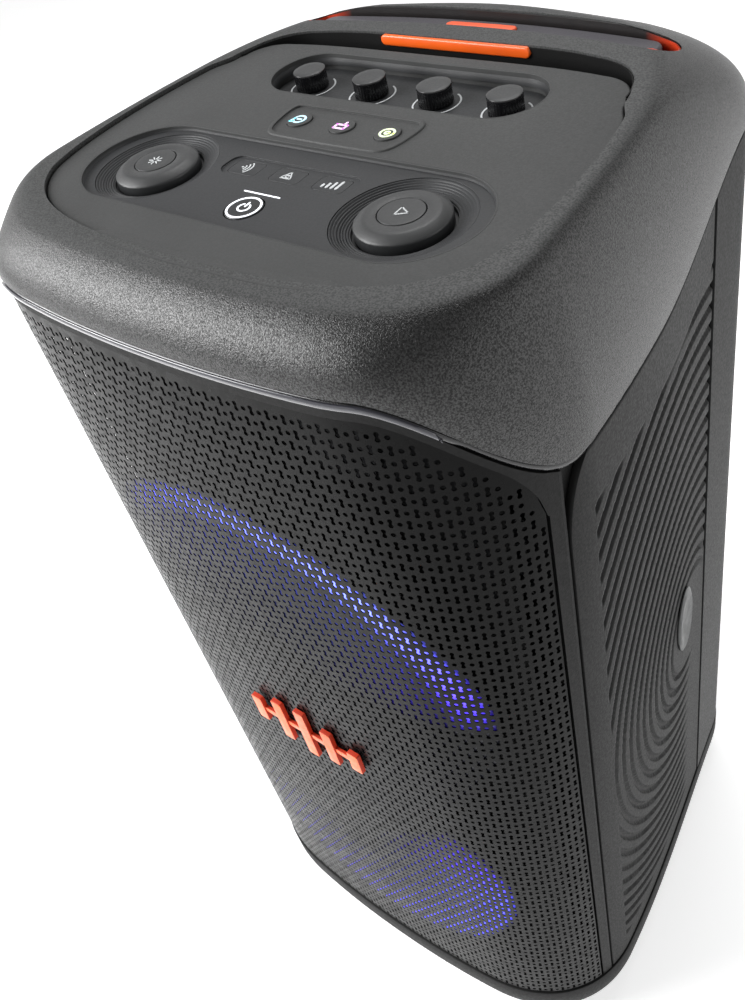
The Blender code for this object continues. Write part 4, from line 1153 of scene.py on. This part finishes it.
def make_pod():
    """The dark control strip: ridged dishes round the dials, and a sunk row for the keys."""
    pod = straight_ribbon(0.082, 0.0347, 0.0, LIGHT_DIAL[1], 40)
    plate = rounded_prism("pod_fine", pod, PANEL_FLOOR_Z, POD_Z, "pod")
    tools = []
    for dial in (LIGHT_DIAL, VOLUME_DIAL):
        tools.append(cutter(circle(0.0322, *dial[:2], 96), POD_Z - 0.0036))
        tools.append(cutter(circle(0.0230, *dial[:2], 96), 0.6545))
    keys = [middle(name) for name in ("pairing_key", "link_key", "boost_key")]
    row = rounded_rectangle(0.0405, 0.0080, 0.0060, 0.0, keys[0][1])
    tools.append(cutter(row, ROW_Z))
    for key in keys:
        shape = rounded_rectangle(0.0091, 0.0059, 0.0026, *key[:2])
        tools.append(cutter(shape, POD_Z - KEY_WELL))
    tools.append(cutter(circle(0.0099, *POWER[:2], 48), POD_Z - KEY_WELL))
    cut(plate, *tools)
    shade(plate, 30.0)
    soften(plate, 0.0002, 50.0, 3)
    keep(plate, "body", "control_pod")

    for name, dial, face in (("light_dial", LIGHT_DIAL, 215.0), ("volume_dial", VOLUME_DIAL, 195.0)):
        radii = np.linspace(0.0236, 0.0321, 69)
        angles = np.linspace(0.0, 2 * math.pi, 144, endpoint=False)
        facing = 0.5 + 0.5 * np.cos(angles - math.radians(face))
        rings = []
        for radius in radii:
            share = (radius - radii[0]) / (radii[-1] - radii[0])
            ridge = abs(math.sin(share * math.pi * 7.0)) ** 0.7
            height = POD_Z - 0.0031 + 0.0030 * share**1.6 - 0.00055 * (1 - ridge) * facing**0.6
            rings.append(level(circle(radius, *dial[:2], 144), height))
        for radius in (radii[-1], radii[0]):
            rings.append(level(circle(radius, *dial[:2], 144), POD_Z - 0.0045))
        keep(loft(name + "_ridges", sections(rings), "pod", True, 25.0), "body")


def polygon(radius, corners, first, y=0.0):
    """The sides of a regular polygon, as lines."""
    angles = np.linspace(0.0, 2 * math.pi, corners + 1) + math.radians(first)
    points = [(radius * math.cos(a), radius * math.sin(a) + y) for a in angles]
    return list(zip(points[:-1], points[1:]))


def make_dials():
    for side, centre in (("light", LIGHT_DIAL), ("volume", VOLUME_DIAL)):
        name = side + "_dial"
        low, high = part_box(name)
        base, top = low[2], high[2]
        bore = 0.0108
        section = [(bore, base), (0.0208, base), (0.0215, base + 0.0006), (0.0215, top - 0.0034),
                   (0.0213, top - 0.0028), (0.0207, top - 0.0022), (0.0176, top - 0.0004),
                   (0.0168, top - 0.0001), (0.0158, top), (bore + 0.0006, top),
                   (bore + 0.0002, top - 0.0002), (bore, top - 0.0006)]
        made = turn(name + "_fine", section, "knob", (*centre[:2], 0.0), steps=96)
        keep(two_tone(made, "knob_top", UP, 0.35), name, name)
    for name, centre in (("light_button", LIGHT_DIAL), ("play_button", VOLUME_DIAL)):
        low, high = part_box(name)
        top = high[2]
        section = [(0.0, low[2]), (0.0105, low[2]), (0.0105, top - 0.0006), (0.0103, top - 0.0002),
                   (0.0098, top - 0.0001), (0.0060, top - 0.0003), (0.0, top - 0.0004)]
        keep(turn(name + "_fine", section, "knob_top", (*centre[:2], 0.0), steps=72), name, name)
    rays = [[(0.0014 * math.cos(a), 0.0014 * math.sin(a)), (0.0034 * math.cos(a), 0.0034 * math.sin(a))]
            for a in np.linspace(0.0, 2 * math.pi, 8, endpoint=False) + 0.2]
    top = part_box("light_button")[1][2] - 0.00045
    strokes("light_button_mark", rays, 0.0007, top, "ink", "light_button", 0.0003, LIGHT_DIAL[:2])
    sides = polygon(0.0035, 3, 0.0)
    strokes("play_button_mark", sides, 0.0007, top, "ink", "play_button", 0.0003, VOLUME_DIAL[:2])


def make_mics():
    base = 0.6540
    tray = straight_ribbon(0.0600, 0.0222, 0.0, MIC_KNOBS[0][1], 32)
    plate = rounded_prism("mic_tray", tray, PANEL_FLOOR_Z, base, "pod")
    keep(plate, "body", "mic_plate")
    scale = []
    for number, knob in enumerate(MIC_KNOBS, 1):
        name = "mic_knob_%d" % number
        low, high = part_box(name)
        top = high[2]
        grips = 36
        steps = grips * 4
        angles = np.linspace(0.0, 2 * math.pi, steps, endpoint=False)
        flute = 0.00022 * (0.5 + 0.5 * np.cos(angles * grips))
        rings = []
        section = [(0.0084, low[2], 0.0), (0.0089, low[2] + 0.0005, 1.0), (0.0087, top - 0.0022, 1.0),
                   (0.0089, top - 0.0016, 0.0), (0.0090, top - 0.0011, 0.0), (0.0087, top - 0.0004, 0.0),
                   (0.0079, top, 0.0), (0.0050, top - 0.0001, 0.0)]
        for radius, z, amount in section:
            reach = radius - flute * amount
            plan = np.column_stack([knob[0] + reach * np.cos(angles), knob[1] + reach * np.sin(angles)])
            rings.append(level(plan, z))
        knob_fine = loft(name + "_fine", rings, "mic_side", smooth=38.0)
        keep(two_tone(knob_fine, "knob_top", UP, 0.5), name, name)
        for start, end in ((118.0, 242.0), (-62.0, 62.0)):
            scale.append(arc(0.0122, start, end, knob[0], knob[1] + 0.0002))
        left, right, row = knob[0] - 0.0078, knob[0] + 0.0078, knob[1] - 0.0128
        scale.append([(left - 0.0010, row), (left + 0.0010, row)])
        scale.append([(right - 0.0010, row), (right + 0.0010, row)])
        scale.append([(right, row - 0.0010), (right, row + 0.0010)])
    strokes("mic_scales", scale, 0.0009, base, "ink", "body")


def make_keys():
    for name in ("pairing_key", "link_key", "boost_key"):
        low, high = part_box(name)
        x, y = (np.add(low, high) / 2)[:2]
        shape = rounded_rectangle(0.0090, 0.0058, 0.0025, x, y)
        keep(rounded_prism(name + "_fine", shape, low[2], ROW_Z, "pod", 0.0002), name, name)
    top = ROW_Z
    place = middle("pairing_key")[:2]
    waves = [arc(r, -48.0, 48.0, -0.0026, 0.0) for r in (0.0018, 0.0036, 0.0054)]
    waves.append([(-0.0030, 0.0), (-0.0024, 0.0)])
    strokes("pairing_key_mark", waves, 0.0008, top, "ink", "pairing_key", 0.0002, place)
    place = middle("link_key")[:2]
    triangle = [*polygon(0.0036, 3, 90.0, -0.0006), arc(0.0010, 0.0, 359.0, 0.0, -0.0006, 16)]
    strokes("link_key_mark", triangle, 0.0007, top, "ink", "link_key", 0.0002, place)
    place = middle("boost_key")[:2]
    bars = [[(0.0028 * k - 0.0042, -0.0028), (0.0028 * k - 0.0042, -0.0012 + 0.0014 * k)] for k in range(4)]
    strokes("boost_key_mark", bars, 0.0014, top, "ink", "boost_key", 0.0002, place)

    low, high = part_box("power_button")
    section = [(0.0, low[2]), (0.0093, low[2]), (0.0093, high[2] - 0.0004), (0.0090, high[2] - 0.0001),
               (0.0, high[2])]
    button = turn("power_button_fine", section, "knob", (*POWER[:2], 0.0))
    keep(button, "power_button", "power_button")
    top = high[2] - 0.0001
    ring = arc(0.0082, 0.0, 359.0, 0.0, 0.0, 64)
    strokes("power_ring", [ring], 0.0010, top, "white_glow", "power_button", 0.0002, POWER[:2])
    symbol = [arc(0.0030, 125.0, 415.0), [(0.0, 0.0008), (0.0, 0.0042)]]
    strokes("power_mark", symbol, 0.0009, top, "white_glow", "power_button", 0.0002, POWER[:2])
    strokes("status_light", [[(-0.0110, -0.0962), (0.0110, -0.0962)]], 0.0008, POD_Z, "white_glow", "body")

    looks = ("cyan_glow", "magenta_glow", "lime_glow")
    symbols = (
        [arc(0.0032, -150.0, 180.0), [(-0.0032, 0.0), (-0.0040, -0.0030)],
         [(-0.0040, -0.0030), (-0.0020, -0.0026)], [(-0.0012, 0.0), (0.0012, 0.0)]],
        [[(-0.0034, -0.0026), (0.0026, -0.0026)], [(0.0026, -0.0026), (0.0030, 0.0008)],
         [(0.0030, 0.0008), (-0.0034, 0.0008)], [(-0.0034, 0.0008), (-0.0034, -0.0026)],
         [(0.0006, 0.0010), (0.0008, 0.0034)]],
        [arc(0.0036, 0.0, 359.0), arc(0.0012, 0.0, 359.0, 0.0, 0.0, 16)],
    )
    for number, (look, symbol) in enumerate(zip(looks, symbols), 1):
        name = "effect_key_%d" % number
        low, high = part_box(name)
        x, y = (np.add(low, high) / 2)[:2]
        top = high[2] - 0.0003
        key = rounded_prism(name + "_fine", circle(0.0065, x, y, 48), low[2], top, "soft", 0.0002)
        keep(key, name, name)
        strokes(name + "_mark", symbol, 0.0012, top, look, name, 0.0002, (x, y))


# Handle and carry bar


def make_handle():
    low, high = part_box("handle_grip")
    shape = ribbon(slot_line(GRIP_HALF_LENGTH, GRIP_Y), GRIP_HALF_DEPTH)
    grip = rounded_prism("grip_fine", shape, low[2], high[2], "grip", 0.0018, 4)
    seam = ribbon(slot_line(GRIP_HALF_LENGTH - 0.0010, GRIP_Y - 0.0058), 0.0003)
    pocket = ribbon(slot_line(BUTTON_HALF_LENGTH, GRIP_Y), BUTTON_HALF_DEPTH)
    cut(grip, cutter(pocket, high[2] - 0.0060), cutter(seam, high[2] - 0.0008))
    shade(grip, 32.0)
    soften(grip, 0.0003, 62.0)
    keep(grip, "handle", "handle_grip")
    low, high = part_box("release_button")
    shape = ribbon(slot_line(BUTTON_HALF_LENGTH, GRIP_Y), BUTTON_HALF_DEPTH - GAP)
    button = rounded_prism("release_button_fine", shape, low[2], high[2], "button", 0.0009, 4)
    keep(button, "release_button", "release_button")
    low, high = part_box("grip_strip")
    half_height = (high[2] - low[2]) / 2
    middle_z = (low[2] + high[2]) / 2
    strip = straight_ribbon((high[0] - low[0]) / 2 - half_height, half_height, 0.0, middle_z, 12)
    section = [(0.0, high[1]), (0.0, low[1] + 0.0006), (0.0003, low[1] + 0.0002), (0.0010, low[1])]
    rings = [upright(inset(strip, lane), y) for lane, y in section]
    keep(loft("grip_strip_fine", rings, "orange", smooth=50.0), "body", "grip_strip")


BADGE_DEPTH = 0.0032
BADGE_EDGE = 0.0004


def make_badge():
    """Five square-cut bars on one thin rail, a generic sound-level mark with flat bright faces."""
    low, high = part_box("front_badge")
    middle_z = (low[2] + high[2]) / 2
    half_length = (high[0] - low[0]) / 2 - 0.0015
    rail = rounded_rectangle(half_length, 0.0024, 0.0008, (low[0] + high[0]) / 2, middle_z)
    face_y = high[1] - BADGE_DEPTH
    shapes = [("badge_rail", rail, face_y + 0.0010)]
    for step, height in enumerate((0.0120, 0.0200, 0.0235, 0.0165, 0.0095)):
        x = low[0] + 0.0045 + 0.0200 * step
        shapes.append(("badge_bar", rounded_rectangle(0.0042, height, 0.0009, x, middle_z), face_y))
    made = []
    for name, outline, face_y in shapes:
        rings = []
        for turned in np.linspace(math.pi / 2, 0.0, 4):
            ring = inset(outline, BADGE_EDGE * (1 - math.cos(turned)))
            rings.append(upright(ring, face_y + BADGE_EDGE * (1 - math.sin(turned))))
        rings.append(upright(outline, high[1]))
        made.append(loft(name, rings, "orange_red", smooth=40.0))
    badge = made[0]
    badge.name = "badge_fine"
    join(badge, *made[1:])
    keep(two_tone(shade(badge, 40.0), "orange", FRONT, 0.6), "body", "front_badge")


# CAD nodes that stay, and the wheels


def dress(names, look, edge=0.0, angle=30.0):
    """Gives carried-over CAD nodes their material, and rounded edges where an edge width is given."""
    for name in names.split():
        made = NODES[name]
        made.data.materials.clear()
        made.data.materials.append(LOOK[look])
        made.data.polygons.foreach_set("material_index", [0] * len(made.data.polygons))
        if edge:
            soften(made, edge, angle)


GROOVE = 0.0012


def make_wheels():
    for side in ("left", "right"):
        low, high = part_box("wheel_tyre_" + side)
        centre = np.add(low, high) / 2
        half = (high[0] - low[0]) / 2
        tread = (high[2] - low[2]) / 2
        rim = 0.0333
        outer = [(rim, 0.001), (rim + 0.0030, 0.0), (tread - 0.0040, 0.0), (tread - GROOVE, 0.0012),
                 (tread, 0.0040), (tread, 0.0080), (tread - GROOVE, 0.0086), (tread - GROOVE, 0.0100),
                 (tread, 0.0106)]
        section = [(radius, -half + across) for radius, across in outer]
        section += [(radius, half - across) for radius, across in reversed(outer)]
        name = "wheel_" + side
        keep(turn("tyre_fine_" + side, section, "tyre", centre, "X", 80), name, "wheel_tyre_" + side)


make_head()
make_gap_lining()
make_front_blend()
make_trim()
make_front()
make_side("ribbed_side_panel_right", 1.0)
make_side("ribbed_side_panel_left", -1.0)
make_rear()
make_lights()
make_panel()
make_pod()
make_dials()
make_mics()
make_keys()
make_handle()
make_badge()
make_wheels()
dress("cabinet_shell front_baffle", "side", 0.0004)
# The slot lining's material holds painted shade: near black along the middle, orange at the ends.
dress("slot_liner", "slot", 0.0004)
dress("foot_left foot_right battery_pack", "rubber", 0.0006)
dress("bass_port io_panel ac_inlet wheel_hub_left wheel_hub_right", "rear", 0.0005)
dress("woofer_cone_upper woofer_cone_lower tweeter_left tweeter_right", "cone")
dress("woofer_surround_upper woofer_surround_lower", "rubber")
dress("woofer_basket_upper woofer_basket_lower power_supply", "dark_metal")
dress("handle_guide_left handle_guide_right", "dark_metal")
dress("handle_tube_left handle_tube_right axle", "metal")
dress("amplifier_board", "circuit", 0.0003)


# Stage, lights and camera


def make_stage():
    bpy.ops.mesh.primitive_plane_add(size=12.0)
    floor = bpy.context.object
    floor.name = "floor"
    paper = Shader("floor_paper", (0.90, 0.90, 0.90), 0.60)
    paper.bump(paper.noise(60.0, 3.0), 0.0001).vary(paper.noise(3.0, 2.0), 0.004)
    paper.set("Emission Color", (1.0, 1.0, 1.0, 1.0))
    paper.set("Emission Strength", 0.62)
    floor.data.materials.append(paper.material)
    world = bpy.data.worlds.new("soft_studio")
    bpy.context.scene.world = world
    world.use_nodes = True
    background = world.node_tree.nodes["Background"]
    background.inputs["Color"].default_value = (1.0, 1.0, 1.0, 1.0)
    tree = world.node_tree
    direction = tree.nodes.new("ShaderNodeTexCoord").outputs["Generated"]
    split = tree.nodes.new("ShaderNodeSeparateXYZ")
    tree.links.new(direction, split.inputs["Vector"])
    height = tree.nodes.new("ShaderNodeMapRange")
    for socket, value in (("From Min", 0.26), ("From Max", 0.42), ("To Min", 0.95), ("To Max", 0.16)):
        height.inputs[socket].default_value = value
    tree.links.new(split.outputs["Z"], height.inputs["Value"])
    tree.links.new(height.outputs["Result"], background.inputs["Strength"])
    bpy.context.scene.view_settings.view_transform = "Standard"


def make_light(name, place, target, size, power, colour=(1.0, 1.0, 1.0)):
    lamp = bpy.data.lights.new(name, "AREA")
    lamp.shape = "DISK"
    lamp.size = size
    lamp.energy = power
    lamp.color = colour
    made = bpy.data.objects.new(name, lamp)
    made.location = place
    made.rotation_euler = (Vector(target) - Vector(place)).to_track_quat("-Z", "Y").to_euler()
    bpy.context.scene.collection.objects.link(made)


def make_camera():
    """The photo's angle: above the front right corner, looking down at the front, tilted to the left."""
    place = Vector((0.3367, -0.3762, 0.8733))
    target = Vector((-0.0911, -0.0037, 0.3345))
    roll = 0.2796
    forward = (target - place).normalized()
    right = forward.cross(UP).normalized()
    down = forward.cross(right)
    rolled_right = math.cos(roll) * right + math.sin(roll) * down
    rolled_down = -math.sin(roll) * right + math.cos(roll) * down
    camera = bpy.data.objects.new("camera", bpy.data.cameras.new("camera"))
    camera.data.lens = 36.86
    camera.data.sensor_width = 36.0
    camera.data.sensor_fit = "AUTO"
    camera.data.clip_start = 0.01
    turned = Matrix((rolled_right, -rolled_down, -forward)).transposed()
    camera.matrix_world = Matrix.Translation(place) @ turned.to_4x4()
    bpy.context.scene.collection.objects.link(camera)
    bpy.context.scene.camera = camera


make_stage()
make_light("key", (-1.35, -1.10, 1.50), (0.0, -0.10, 0.60), 1.5, 62.0)
make_light("fill", (1.6, 0.4, 1.2), (0.1, 0.0, 0.4), 1.2, 4.0)
make_light("top", (-0.3, 0.8, 2.1), (0.0, 0.0, 0.6), 1.2, 15.0)
make_camera()
